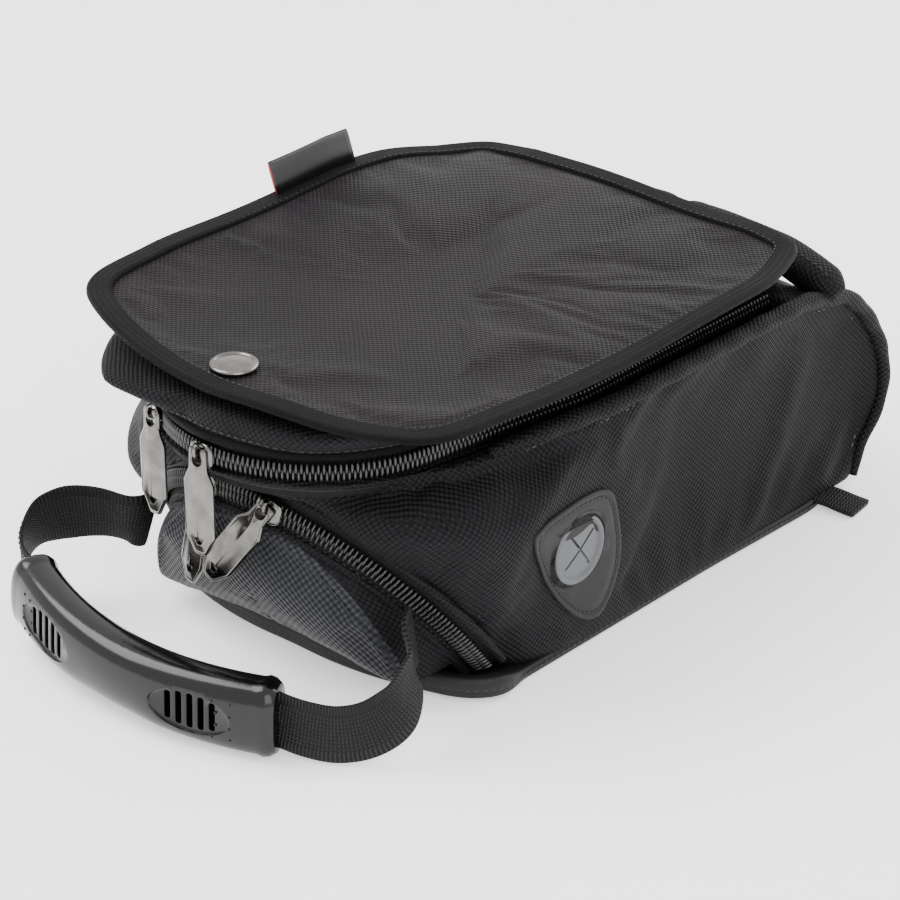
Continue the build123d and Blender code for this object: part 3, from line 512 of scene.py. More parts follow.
# ---------------------------------------------------------------- rows of small things along a path
def build_row_tree():
    """Geometry nodes: even beads along a path, each turned to the path and to its 'up' attribute."""
    tree = bpy.data.node_groups.new("row of beads", "GeometryNodeTree")
    face = tree.interface
    face.new_socket("Geometry", in_out="INPUT", socket_type="NodeSocketGeometry")
    for label, kind in (("Pitch", "NodeSocketFloat"), ("Bead size", "NodeSocketVector"),
                        ("Bead material", "NodeSocketMaterial")):
        face.new_socket(label, in_out="INPUT", socket_type=kind)
    face.new_socket("Geometry", in_out="OUTPUT", socket_type="NodeSocketGeometry")
    g = Graph(tree)
    put_in, put_out = g.add("NodeGroupInput"), g.add("NodeGroupOutput")
    curve = g.add("GeometryNodeMeshToCurve", {"Mesh": put_in.outputs["Geometry"]})
    even = g.add("GeometryNodeResampleCurve", {"Curve": curve.outputs[0]})
    even.mode = "LENGTH"
    g.feed(even.inputs["Length"], put_in.outputs["Pitch"])
    bead = g.add("GeometryNodeMeshUVSphere", {"Segments": 8, "Rings": 5, "Radius": 0.5})
    sized = g.add("GeometryNodeTransform", {"Geometry": bead.outputs["Mesh"], "Scale": put_in.outputs["Bead size"]})
    along = g.add("GeometryNodeInputTangent")
    up = g.add("GeometryNodeInputNamedAttribute", {"Name": "up"}, data_type="FLOAT_VECTOR")
    turn = g.add("FunctionNodeAlignRotationToVector", {"Vector": along.outputs[0]}, axis="X")
    turn = g.add("FunctionNodeAlignRotationToVector", {"Rotation": turn.outputs[0], "Vector": up.outputs[0]},
                 axis="Z", pivot_axis="X")
    placed = g.add("GeometryNodeInstanceOnPoints", {"Points": even.outputs[0], "Instance": sized.outputs[0],
                                                     "Rotation": turn.outputs[0]})
    real = g.add("GeometryNodeRealizeInstances", {"Geometry": placed.outputs[0]})
    shade = g.add("GeometryNodeSetShadeSmooth", {"Geometry": real.outputs[0]})
    skinned = g.add("GeometryNodeSetMaterial", {"Geometry": shade.outputs[0],
                                                "Material": put_in.outputs["Bead material"]})
    g.feed(put_out.inputs["Geometry"], skinned.outputs[0])
    return tree


ROW = build_row_tree()


def bead_row(name, path, ups, pitch, size, skin, trim=0.0):
    """Beads of size (along, side, up) mm every pitch mm along the path, as a plain mesh."""
    path = np.asarray(path, float)
    if trim:
        along = lengths_along(path)
        fresh = np.linspace(trim, along[-1] - trim, len(path))
        ups = np.broadcast_to(np.asarray(ups, float), path.shape)
        ups = np.stack([np.interp(fresh, along, ups[:, k]) for k in range(3)], 1)
        path = np.stack([np.interp(fresh, along, path[:, k]) for k in range(3)], 1)
    mesh = bpy.data.meshes.new(name + "_path")
    mesh.from_pydata((path * MM).tolist(), [(i, i + 1) for i in range(len(path) - 1)], [])
    layer = mesh.attributes.new("up", "FLOAT_VECTOR", "POINT")
    layer.data.foreach_set("vector", np.broadcast_to(np.asarray(ups, float), path.shape).astype(np.float32).ravel())
    holder = bpy.data.objects.new(name + "_path", mesh)
    bpy.context.scene.collection.objects.link(holder)
    modifier = holder.modifiers.new("row", "NODES")
    modifier.node_group = ROW
    ids = {s.name: s.identifier for s in ROW.interface.items_tree if s.in_out == "INPUT"}
    modifier[ids["Pitch"]] = pitch * MM
    modifier[ids["Bead size"]] = [s * MM for s in size]
    modifier[ids["Bead material"]] = skin
    bpy.context.view_layer.update()
    graph = bpy.context.evaluated_depsgraph_get()
    plain = bpy.data.meshes.new_from_object(holder.evaluated_get(graph))
    bpy.data.objects.remove(holder)
    plain.name = name
    made = bpy.data.objects.new(name, plain)
    bpy.context.scene.collection.objects.link(made)
    return made


# ---------------------------------------------------------------- cloth
def puff(obj, pinned, pressure, grow, cap, bending=3.0, frames=18):
    """Runs a short cloth simulation: pinned points stay, the rest swell and crease, at most cap mm."""
    scene = bpy.context.scene
    start = np.array([v.co for v in obj.data.vertices])
    held = obj.vertex_groups.new(name="held")
    for weight in np.unique(np.round(pinned, 2)):
        if weight > 0:
            picked = [int(i) for i in np.nonzero(np.abs(pinned - weight) < 0.006)[0]]
            held.add(picked, float(weight), "REPLACE")
    cloth = obj.modifiers.new("cloth", "CLOTH")
    s = cloth.settings
    s.quality = 5
    s.mass = 0.3
    s.tension_stiffness = s.compression_stiffness = 20.0
    s.shear_stiffness = 10.0
    s.bending_stiffness = bending
    s.vertex_group_mass = "held"
    s.shrink_min = -grow
    s.use_pressure = pressure > 0
    s.uniform_pressure_force = pressure
    s.effector_weights.gravity = 0.0
    cloth.collision_settings.use_collision = False
    cloth.collision_settings.use_self_collision = False
    cloth.point_cache.frame_start, cloth.point_cache.frame_end = 1, frames
    for f in range(1, frames + 1):
        scene.frame_set(f)
    graph = bpy.context.evaluated_depsgraph_get()
    shape = obj.evaluated_get(graph).to_mesh()
    moved = np.array([v.co for v in shape.vertices])
    obj.evaluated_get(graph).to_mesh_clear()
    obj.modifiers.remove(cloth)
    obj.vertex_groups.remove(held)
    scene.frame_set(1)
    step = moved - start
    size = np.linalg.norm(step, axis=1, keepdims=True)
    limit = cap * MM
    step *= np.where(size > 1e-12, limit * np.tanh(size / limit) / np.maximum(size, 1e-12), 0.0)
    step *= (1 - pinned)[:, None]
    obj.data.vertices.foreach_set("co", (start + step).astype(np.float32).ravel())
    obj.data.update()


def subdivide(obj):
    """One smooth subdivision; the fans that close the ends come off first and go back after, which is far quicker."""
    bm = bmesh.new()
    bm.from_mesh(obj.data)
    bmesh.ops.delete(bm, geom=[v for v in bm.verts if len(v.link_edges) > 30], context="VERTS")
    bm.to_mesh(obj.data)
    bm.free()
    modifier = obj.modifiers.new("finer", "SUBSURF")
    modifier.levels = modifier.render_levels = 1
    bpy.context.view_layer.objects.active = obj
    bpy.ops.object.modifier_apply(modifier=modifier.name)
    bm = bmesh.new()
    bm.from_mesh(obj.data)
    open_edges = [e for e in bm.edges if len(e.link_faces) == 1]
    if open_edges:
        ends = bmesh.ops.holes_fill(bm, edges=open_edges, sides=0)["faces"]
        for face in ends:
            face.material_index = face.edges[0].link_faces[0].material_index
            face.smooth = True
        bmesh.ops.poke(bm, faces=ends)
    bm.to_mesh(obj.data)
    bm.free()


def surface_of(obj):
    """A lookup on the mesh, for seating seams: takes mm, returns (point, normal) in mm."""
    graph = bpy.context.evaluated_depsgraph_get()
    tree = BVHTree.FromObject(obj, graph)

    def seat(point, lift=0.0):
        hit = tree.find_nearest(Vector(point) * MM)
        return np.array(hit[0]) / MM + np.array(hit[1]) * lift, np.array(hit[1])

    return seat


def seated(obj, path, lift=0.0, passes=2):
    """The path dropped onto the mesh, with the surface's normals."""
    seat = surface_of(obj)
    found = [seat(p, lift) for p in path]
    return blurred([f[0] for f in found], passes), unit(blurred([f[1] for f in found], passes))


# ---------------------------------------------------------------- padded body
NOSE = np.array((0.0, -113.0))
NOSE_RADIUS = 64.0
ZIP_Z = 105.0
LEAN = math.radians(36.9)
FACE_UP = np.array((0.0, -math.sin(LEAN), math.cos(LEAN)))
FACE_OUT = np.array((0.0, -math.cos(LEAN), -math.sin(LEAN)))
FACE_FOOT = np.array((0.0, -93.0, 3.5))
RIGHT = np.array((1.0, 0.0, 0.0))


def face_point(u, v, n=0.0):
    return FACE_FOOT + RIGHT * u + FACE_UP * v + FACE_OUT * n


def arc_through(a, b, c, count):
    """Points on the circle through three plan points."""
    (ax, ay), (bx, by), (cx, cy) = a, b, c
    d = 2 * (ax * (by - cy) + bx * (cy - ay) + cx * (ay - by))
    ux = ((ax**2 + ay**2) * (by - cy) + (bx**2 + by**2) * (cy - ay) + (cx**2 + cy**2) * (ay - by)) / d
    uy = ((ax**2 + ay**2) * (cx - bx) + (bx**2 + by**2) * (ax - cx) + (cx**2 + cy**2) * (bx - ax)) / d
    r = math.hypot(ax - ux, ay - uy)
    t0, t1, t2 = (math.atan2(y - uy, x - ux) for x, y in (a, b, c))
    span = (t2 - t0) % math.tau
    if (t1 - t0) % math.tau > span:
        span -= math.tau
    t = t0 + np.linspace(0, 1, count) * span
    return np.stack([ux + r * np.cos(t), uy + r * np.sin(t)], 1)


FRONT_COLS, SIDE_COLS, REAR_COLS = 26, 56, 22
PLAN_LEVELS = (   # height, half width, where the side turns in, corner, point between, front
    (0.0, 87.0, -50.0, (78.0, -96.0), (85.5, -78.0), -101.0),
    (80.0, 90.7, -60.0, (66.0, -146.0), (85.0, -105.0), -165.0),
    (107.0, 92.0, -20.0, (65.0, -124.1), (82.0, -72.0), -180.0),
)


def front_limit(z):
    wall = -93.0 - 0.7508 * (z - 3.5)
    if z > 86.7:
        wall = -155.4 - 24.6 * min((z - 86.7) / 4.8, 1.0)
    return wall


def rear_limit(z):
    if z <= 40.0:
        return 128.0 + 14.0 * z / 40.0
    return 75.0 + math.sqrt(max(67.0**2 - (z - 40.0) ** 2, 0.0))


def half_outline(z):
    """The right half of the body's outline at a height: front middle, corner, side, rear corner, rear middle."""
    z = min(z, 107.0)
    low, high = (PLAN_LEVELS[0], PLAN_LEVELS[1]) if z < 80.0 else (PLAN_LEVELS[1], PLAN_LEVELS[2])
    t = (z - low[0]) / (high[0] - low[0])
    pieces = []
    for _, half, turn_y, corner, mid, front in (low, high):
        nose = arc_through((0, front), ((corner[0] * 0.6), front + (corner[1] - front) * 0.36), corner, FRONT_COLS)
        flank = np.vstack([arc_through(corner, mid, (half, turn_y), 30), [(half, 160.0)]])
        pieces.append((nose, spaced(flank, count=240)))
    nose = pieces[0][0] * (1 - t) + pieces[1][0] * t
    flank = pieces[0][1] * (1 - t) + pieces[1][1] * t
    rear = rear_limit(z)
    flank = flank[flank[:, 1] < rear]
    flank = spaced(np.vstack([flank, [(flank[-1, 0], rear)]]), count=SIDE_COLS + 1)
    back = np.stack([np.linspace(flank[-1, 0], 0, REAR_COLS + 1), np.full(REAR_COLS + 1, rear)], 1)
    half_line = np.vstack([nose, flank[1:], back[1:]])
    half_line[:, 1] = np.maximum(half_line[:, 1], front_limit(z))
    return half_line


def whole_ring(half_line):
    mirrored = half_line[-2:0:-1] * np.array((-1.0, 1.0))
    return np.vstack([half_line, mirrored])


def grown(ring, amount):
    """A closed plan ring moved outward, by one amount or one for each point."""
    tangent = unit(np.roll(ring, -1, 0) - np.roll(ring, 1, 0))
    return ring + np.stack([tangent[:, 1], -tangent[:, 0]], 1) * np.reshape(amount, (-1, 1))


def zip_half(grow, count_front, count_side, count_rear, rear=72.0):
    """The right half of the main zip's U, closed across the rear."""
    sweep_angles = np.radians(np.linspace(0, 80, count_front))
    radius = NOSE_RADIUS + grow
    nose = np.stack([radius * np.sin(sweep_angles), NOSE[1] - radius * np.cos(sweep_angles)], 1)
    side = spaced(np.array([nose[-1], (77.0 + grow, -45.0), (77.0 + grow, rear)]), count=count_side + 1)
    back = np.stack([np.linspace(side[-1, 0], 0, count_rear + 1), np.full(count_rear + 1, rear)], 1)
    return np.vstack([nose, side[1:], back[1:]])


def make_body():
    heights = np.linspace(0, 107.0, 61)
    table = np.stack([whole_ring(half_outline(z)) for z in heights])
    for _ in range(2):
        table = (np.roll(table, 1, 1) + 2 * table + np.roll(table, -1, 1)) / 4
    table[1:-1] = (table[:-2] + 2 * table[1:-1] + table[2:]) / 4
    cols = table.shape[1]
    mouth = whole_ring(zip_half(2.4, FRONT_COLS, SIDE_COLS, REAR_COLS))
    gap = np.linalg.norm(table[-1] - mouth, axis=1)
    gap = np.minimum(gap, np.where(table[-1][:, 1] > 60, 12.0, gap))
    lip = np.clip(gap / 13.0, 0, 1)
    top = 97.5 + 10.5 * lip**0.8

    def at_height(z_of_col, inset=0.0):
        """The body's ring with each column at its own height."""
        out = np.empty((cols, 3))
        for k, z in enumerate(z_of_col):
            out[k, 0] = np.interp(z, heights, table[:, k, 0])
            out[k, 1] = np.interp(z, heights, table[:, k, 1])
            out[k, 2] = z
        if inset:
            out[:, :2] = grown(out[:, :2], -inset)
        return out

    def tucked(row):
        """The fabric falls in under the zip's shoulder and swells again below it."""
        shoulder = np.clip((-52.0 - row[:, 1]) / 30.0, 0, 1) * np.clip((np.abs(row[:, 0]) - 28.0) / 24.0, 0, 1)
        fall = np.exp(-(((row[:, 2] - 93.0) / 5.0) ** 2)) * 6.5
        swell = np.exp(-(((row[:, 2] - 74.0) / 12.0) ** 2)) * 4.0
        row[:, :2] = grown(row[:, :2], (swell - fall) * shoulder)
        lobe = np.exp(-(((row[:, 2] - 52.0) / 24.0) ** 2)) * np.exp(-(((row[:, 1] + 112.0) / 26.0) ** 2))
        lobe *= np.clip((np.abs(row[:, 0]) - 52.0) / 20.0, 0, 1)
        row[:, 0] += np.where(row[:, 0] < 0, -24.0, 9.0) * lobe
        row[:, 1] -= np.where(row[:, 0] < 0, 10.0, 0.0) * lobe
        return row

    rows, pins = [], []

    def put(row, pin):
        rows.append(row)
        pins.append(np.broadcast_to(pin, (cols,)).astype(float))

    base_ring = at_height(np.full(cols, 3.6), 5.0)
    put(base_ring, 1.0)
    put(at_height(np.full(cols, 3.6), 1.0), 1.0)
    steps = 30
    for i in range(steps + 1):
        t = 1 - (1 - i / steps) ** 1.25
        z = 5.2 + (top - 5.2) * t
        held = 1.0 if i in (0, steps) else (0.35 if i in (1, steps - 1) else 0.0)
        put(tucked(at_height(z)), held)
    edge = rows[-1]
    for t in (0.3, 0.6, 0.85, 1.0):
        inner = edge.copy()
        inner[:, :2] = edge[:, :2] * (1 - t) + mouth * t
        inner[:, 2] = top * (1 - t) + 100.0 * t - np.sin(math.pi * t) * 1.6 * lip
        put(inner, 0.0 if t < 0.9 else 1.0)
    rim = rows[-1].copy()
    for z, shrink in ((97.5, -2.0), (93.0, -15.0), (90.0, -17.0)):
        row = rim.copy()
        row[:, :2] = grown(mouth, shrink * 0.6)
        row[:, 2] = z
        put(row, 1.0)
    for z in (84.0, 66.0, 48.0, 30.0, 14.0):
        row = at_height(np.full(cols, z), 10.0)
        put(row, 1.0)
    put(at_height(np.full(cols, 8.5), 12.0), 1.0)
    grid = np.stack(rows)
    shell = grid_piece("body_shell", grid, NYLON)
    pinned = np.concatenate([np.concatenate(pins), [1.0, 1.0]])
    # pocket zone stays flat so that the arched zip keeps its room
    places = np.array([v.co for v in shell.data.vertices]) / MM
    in_front = (places[:, 1] - (-93.0 - 0.7508 * (places[:, 2] - 3.5)) < 4.0) & (np.abs(places[:, 0]) < 78.0)
    pinned = np.maximum(pinned, np.where(in_front & (places[:, 2] < 88.0), 0.9, 0.0))
    near_port = np.hypot(places[:, 1] + 62.0, places[:, 2] - 44.0)
    pinned = np.maximum(pinned, np.where((places[:, 0] > 60) & (near_port < 40.0), 0.45, 0.0))
    puff(shell, pinned, 2.2, 0.035, 6.5, bending=1.2)
    lining = len(rows) - 9
    shell.data.materials.append(LINING)
    for face in shell.data.polygons:
        if min(face.vertices) // cols >= lining or (min(face.vertices) >= len(rows) * cols):
            face.material_index = 1
    crumple(shell, cols, 2, steps + 2)
    settled = np.array([v.co for v in shell.data.vertices])[:len(rows) * cols].reshape(len(rows), cols, 3) / MM
    subdivide(shell)
    finish_piece(shell, "bag", "shell_nylon", "side_panel_left", "side_panel_right", "rear_panel",
                 "front_bulkhead", "mouth_panel", "mouth_rim")
    return shell, settled[:steps + 3]


def ridge_noise(points, scale, seed):
    """Soft creases: smooth noise folded into ridges, from -1 to 1."""
    from mathutils import noise
    out = np.empty(len(points))
    shift = Vector((seed * 7.3, seed * 3.1, seed * 1.7))
    for i, p in enumerate(points):
        q = Vector(p) * scale + shift
        out[i] = 1 - 2 * abs(noise.noise(q)) * 1.6
    return out


def crumple(obj, cols, first_row, last_row):
    """Shallow creases over the free panels, fading at the seams."""
    mesh = obj.data
    co = np.array([v.co for v in mesh.vertices]) / MM
    normals = np.array([v.normal for v in mesh.vertices])
    row = np.arange(len(co)) // cols
    inside = (row > first_row) & (row < last_row)
    fade = np.minimum(np.clip((row - first_row) / 5.0, 0, 1), np.clip((last_row - row) / 5.0, 0, 1))
    stretch = co * np.array((1.0, 1.0, 0.45))
    lift = ridge_noise(stretch, 0.022, 3) * 1.0 + ridge_noise(stretch, 0.055, 5) * 0.4
    in_front = (np.abs(co[:, 0]) < 80) & (co[:, 1] < -95) & (co[:, 2] < 88)
    lift = np.where(in_front, np.minimum(lift, 0) * 0.5, lift)
    co += normals * (lift * fade * inside * 0.9)[:, None]
    mesh.vertices.foreach_set("co", (co * MM).astype(np.float32).ravel())
    mesh.update()


body, body_rows = make_body()


# ---------------------------------------------------------------- neoprene base
def base_ring(grow=0.0, sag=0.0):
    half = 87.0 + grow
    front_mid, shoulder = -128.0 - grow, -120.0 - grow
    r = 22.0
    right = arc_through((0.0, front_mid), (half * 0.5, front_mid + 2.0), (half - r * 0.9, shoulder + 0.6), 18)
    corner = arc_through((half - r * 0.9, shoulder + 0.6), (half - r * 0.22, shoulder + r * 0.36),
                         (half, shoulder + r), 10)
    side = np.array([(half, shoulder + r), (half - sag, -20.0), (half - sag, 30.0), (half + 2.0, 100.0),
                     (half - 3.0, 116.0 + grow), (half * 0.8, 119.0 + grow), (0.0, 119.0 + grow)])
    line = np.vstack([right, corner[1:], side[1:]])
    return whole_ring(spaced(line, count=90))


def make_base():
    rows = []
    for grow, z in ((-6.0, 0.25), (-1.2, 0.1), (-0.2, 0.9), (0.0, 2.4), (-0.6, 4.0)):
        ring = blurred(base_ring(grow), 3, True)
        front = np.clip((-92.0 - ring[:, 1]) / 14.0, 0, 1)
        rows.append(np.column_stack([grown(ring, 6.5 * front * min(z / 2.0, 1.0)), np.full(len(ring), z)]))
    lip = blurred(base_ring(-0.6), 3, True)
    front = np.clip((-92.0 - lip[:, 1]) / 14.0, 0, 1)
    rows.append(np.column_stack([grown(lip, 9.0 * front - 0.2), 4.6 + 6.2 * front]))
    rows.append(np.column_stack([grown(lip, 8.5 * front - 1.6), 5.0 + 7.2 * front]))
    rows.append(np.column_stack([grown(lip, 3.0 * front - 3.0), 4.4 + 5.0 * front]))
    rows.append(np.column_stack([grown(lip, -9.0), np.full(len(lip), 3.9)]))
    made = grid_piece("base_skin", np.stack(rows), NEOPRENE)
    subdivide(made)
    finish_piece(made, "bag", "base_neoprene", "base_pad", "base_band")
    seam = blurred(base_ring(0.1), 3, True)
    front = np.clip((-92.0 - seam[:, 1]) / 14.0, 0, 1)
    line = np.column_stack([grown(seam, 8.4 * front), 3.2 + 4.4 * front])
    stitch = bead_row("base_stitch", line, UP, 3.4, (2.4, 0.55, 0.5), THREAD)
    finish_piece(stitch, "bag", "base_neoprene")
    board = frame["nodes"]["base_board"]
    for slot in board.material_slots:
        slot.material = BOARD


make_base()


def make_base_tabs():
    for name, side in (("left", -1), ("right", 1)):
        path = smoothed([(side * 84.0, 106.0, 4.2), (side * 91.0, 108.0, 3.4), (side * 98.0, 109.5, 2.2),
                         (side * 104.5, 110.5, 1.6)], 1.2)
        tab = sweep(f"base_tab_{name}_woven", path, UP, band_profile(17.0, 2.2), WEBBING)
        subdivide(tab)
        finish_piece(tab, "bag", "binding_webbing", f"base_tab_{name}")


make_base_tabs()


# ---------------------------------------------------------------- seams of the body
def side_line(sign):
    """The seam round one side panel: along its top edge, then down its rear corner."""
    cols = body_rows.shape[1]
    corner = FRONT_COLS + SIDE_COLS - 1
    start = FRONT_COLS + 6
    order = np.arange(start, corner)
    down = np.arange(len(body_rows) - 1, 1, -1)
    if sign < 0:
        order, corner = (cols - order) % cols, (cols - corner) % cols
    return np.vstack([body_rows[-1, order], body_rows[down, corner]])


def make_side_seams():
    """A soft roll of self fabric along each side seam, with a pale stitch line below it."""
    for name, sign in (("left", -1), ("right", 1)):
        path = blurred(spaced(side_line(sign), step=2.0), 10)
        middle = np.array((0.0, 40.0, 50.0))
        out = unit((path - middle) * np.array((1.0, 0.55, 0.8)))
        rise = np.interp(np.linspace(0, 1, len(path)), [0, 0.08, 0.6, 1.0], [0.2, 2.6, 2.4, 0.8])
        radii = np.interp(np.linspace(0, 1, len(path)), [0, 0.08, 0.75, 1.0], [2.2, 4.0, 3.6, 2.2])
        wobble = 1 + 0.07 * np.sin(lengths_along(path) * 0.35)
        profile = round_profile(1.0, 14)[None] * (radii * wobble)[:, None, None]
        roll = sweep(f"side_seam_roll_{name}", path + out * rise[:, None], out, profile, NYLON)
        finish_piece(roll, "bag", "shell_nylon", f"side_piping_{name}")
        inward = unit(np.cross(unit(np.gradient(path, axis=0)), out)) * 6.2
        for label, turn in (("low", 1.0), ("high", -1.0)):
            line, normals = seated(body, path + inward * turn, 0.35, 6)
            stitch = bead_row(f"side_stitch_{label}_{name}", line, normals, 3.6, (2.5, 0.6, 0.5),
                              PALE_THREAD if label == "low" else THREAD, trim=6.0)
            finish_piece(stitch, "bag", "shell_nylon")


make_side_seams()


def make_rear_roll():
    """The padded roll behind the flap: two lobes meeting at a tuck, its ends turned down over the sides."""
    x = np.linspace(-96.0, 96.0, 101)
    tuck = np.exp(-(((x - 7.0) / 5.0) ** 2))
    outer = np.clip((np.abs(x) - 62.0) / 36.0, 0, 1)
    radius = (9.6 + 0.8 * np.cos(x * 0.05)) * (1 - 0.2 * tuck) * (1 - 0.15 * outer**2)
    radius *= np.clip((97.5 - np.abs(x)) / 9.0, 0, 1) ** 0.5
    path = np.stack([x, 100.5 - 4.0 * outer + 1.5 * tuck,
                     112.5 + 1.2 * np.sin(x * 0.045) - 3.5 * tuck - 6.0 * outer**1.6], 1)
    profile = round_profile(1.0, 20, 0.92)[None] * radius[:, None, None]
    roll = sweep("rear_roll", path, UP, profile, NYLON)
    held = np.where(np.arange(len(roll.data.vertices)) % 5 == 0, 0.3, 0.1)
    puff(roll, held, 1.0, 0.03, 2.0, bending=1.0)
    subdivide(roll)
    finish_piece(roll, "bag", "shell_nylon", "rear_band")
    line = path + np.stack([np.zeros(len(x)), -radius * 0.4, radius * 0.9], 1)
    line, normals = seated(roll, line, 0.3, 3)
    stitch = bead_row("rear_roll_stitch", line, normals, 3.4, (2.4, 0.55, 0.5), THREAD, trim=8.0)
    finish_piece(stitch, "bag", "shell_nylon")


make_rear_roll()


# ---------------------------------------------------------------- front pocket
ARCH_V, ARCH_R = 24.0, 70.0


def pocket_depth(v):
    """How far the pocket's front stands off the leaning wall, up that wall."""
    return np.interp(v, [6.0, 12.0, 28.0, 60.0, 94.0], [31.5, 35.0, 36.0, 26.0, 12.5])


def arch_half(radius, foot, count):
    angles = np.radians(np.linspace(0, 90, int(count * 0.62)))
    top = np.stack([radius * np.sin(angles), ARCH_V + radius * np.cos(angles)], 1)
    side = np.stack([np.full(count - len(top), radius), np.linspace(ARCH_V, foot, count - len(top) + 1)[1:]], 1)
    return np.vstack([top, side])


def make_pocket():
    count = 46
    foot = 7.0
    half = arch_half(ARCH_R, foot, count)
    bottom = np.stack([np.linspace(ARCH_R, 0, 16)[1:], foot - 1.5 * np.sin(np.linspace(0, math.pi / 2, 15))], 1)
    half = np.vstack([half, bottom])
    ring = blurred(whole_ring(half), 4, True)
    cols = len(ring)
    centre = np.array((0.0, 50.0))

    def place(flat, depth):
        return np.stack([face_point(u, v, n) for (u, v), n in zip(flat, depth)])

    def flattened(points):
        points[:, 2] = np.maximum(points[:, 2], 13.0 + 0.08 * np.minimum(points[:, 2], 0.0))
        return points

    rows, pins = [], []
    inner = centre + (ring - centre) * 0.9
    rows.append(place(inner, np.full(cols, 0.6)))
    rows.append(place(ring, np.full(cols, 0.8)))
    pins += [1.0, 1.0]
    full = pocket_depth(ring[:, 1])
    for t in (0.2, 0.4, 0.6, 0.8, 0.93):
        bow = 1 + 0.012 * math.sin(t * math.pi)
        rows.append(place(centre + (ring - centre) * bow, full * t))
        pins.append(0.25 if t < 0.9 else 0.7)
    for shrink in (0.985, 0.955, 0.91, 0.85, 0.78, 0.7, 0.61, 0.52, 0.42, 0.32, 0.22, 0.12):
        flat = centre + (ring - centre) * shrink
        crown = 1.0 + 4.0 * (1 - shrink) ** 0.7
        depth = pocket_depth(flat[:, 1]) + crown - 1.2 * (shrink > 0.97)
        rows.append(place(flat, depth))
        pins.append(1.0 if shrink > 0.98 else (0.6 if shrink > 0.95 else 0.0))
    grid = np.stack([flattened(r) for r in rows])
    shell = grid_piece("pocket_shell", grid, POCKET_NYLON)
    pinned = np.concatenate([np.repeat(pins, cols), [1.0, 0.0]])
    puff(shell, pinned, 1.2, 0.03, 4.5, bending=0.8)
    shell.data.materials.append(NYLON)
    for face in shell.data.polygons:
        if min(face.vertices) // cols < 6:
            face.material_index = 1
    subdivide(shell)
    finish_piece(shell, "bag", "shell_nylon", "pocket_panel", "pocket_gusset")
    flat = (centre + (ring - centre) * 0.955)[np.r_[cols - count + 2:cols, 0:count - 2]]
    line, normals = seated(shell, place(flat, pocket_depth(flat[:, 1]) + 2.0), 0.3, 3)
    finish_piece(bead_row("pocket_edge_stitch", line, normals, 3.4, (2.4, 0.6, 0.5), THREAD), "bag", "shell_nylon")


make_pocket()


def pocket_zip_line(step=1.2):
    """The arched zip: points, the way its teeth face, and the way across its tapes."""
    half = arch_half(ARCH_R + 7.5, 11.0, 90)
    flat = np.vstack([half[::-1] * np.array((-1.0, 1.0)), half[1:]])
    flat = spaced(flat, step=step)
    points = np.stack([face_point(u, v, 7.5) for u, v in flat])
    centre = np.stack([np.zeros(len(flat)), np.minimum(flat[:, 1], ARCH_V)], 1)
    centre[:, 1] = np.where(flat[:, 1] > ARCH_V, ARCH_V, flat[:, 1])
    out = unit(flat - centre)
    outward = out[:, :1] * RIGHT + out[:, 1:] * FACE_UP
    facing = unit(outward + FACE_OUT)
    across = unit(outward - FACE_OUT)
    return points, facing, across


def make_pocket_zip():
    points, facing, across = pocket_zip_line()
    for name, sign, shift in (("outer", 1, 0.0), ("inner", -1, 1.05)):
        line = points + across * sign * 1.45
        teeth = bead_row(f"pocket_teeth_{name}", line, facing, 2.1, (1.5, 6.0, 3.0), COIL, trim=2.0 + shift)
        finish_piece(teeth, "bag", "zip_coil", f"pocket_coil_{name}")
        path = points + across * sign * 4.6 - facing * 1.9
        tape = sweep(f"pocket_tape_{name}_woven", path, facing, band_profile(8.6, 0.9, 1), TAPE)
        finish_piece(tape, "bag", "zip_tape", f"pocket_tape_{name}")
    for name, sign in (("outer", 1), ("inner", -1)):
        path = points + across * sign * 7.9 - facing * 1.5
        welt = sweep(f"pocket_welt_{name}", path, facing, round_profile(1.9, 10), NYLON)
        finish_piece(welt, "bag", "shell_nylon")
        row = bead_row(f"pocket_zip_stitch_{name}", points + across * sign * 6.0 - facing * 1.35, facing, 3.0,
                       (2.1, 0.5, 0.4), THREAD, trim=3.0)
        finish_piece(row, "bag", "zip_tape")
    for k, off in enumerate((11.5, 14.0)):
        line, normals = seated(body, points + across * off - facing * 3.0, 0.3, 4)
        row = bead_row(f"pocket_outer_double_stitch_{k}", line, normals, 3.4, (2.4, 0.55, 0.5), THREAD, trim=4.0)
        finish_piece(row, "bag", "shell_nylon")


make_pocket_zip()


# ---------------------------------------------------------------- main zip and lid
def zip_path(grow=0.0, step=1.2, rear=75.0):
    half = zip_half(grow, 70, 80, 1, rear)[:-1]
    line = np.vstack([half[::-1], half[1:] * np.array((-1.0, 1.0))])
    return spaced(line, step=step)


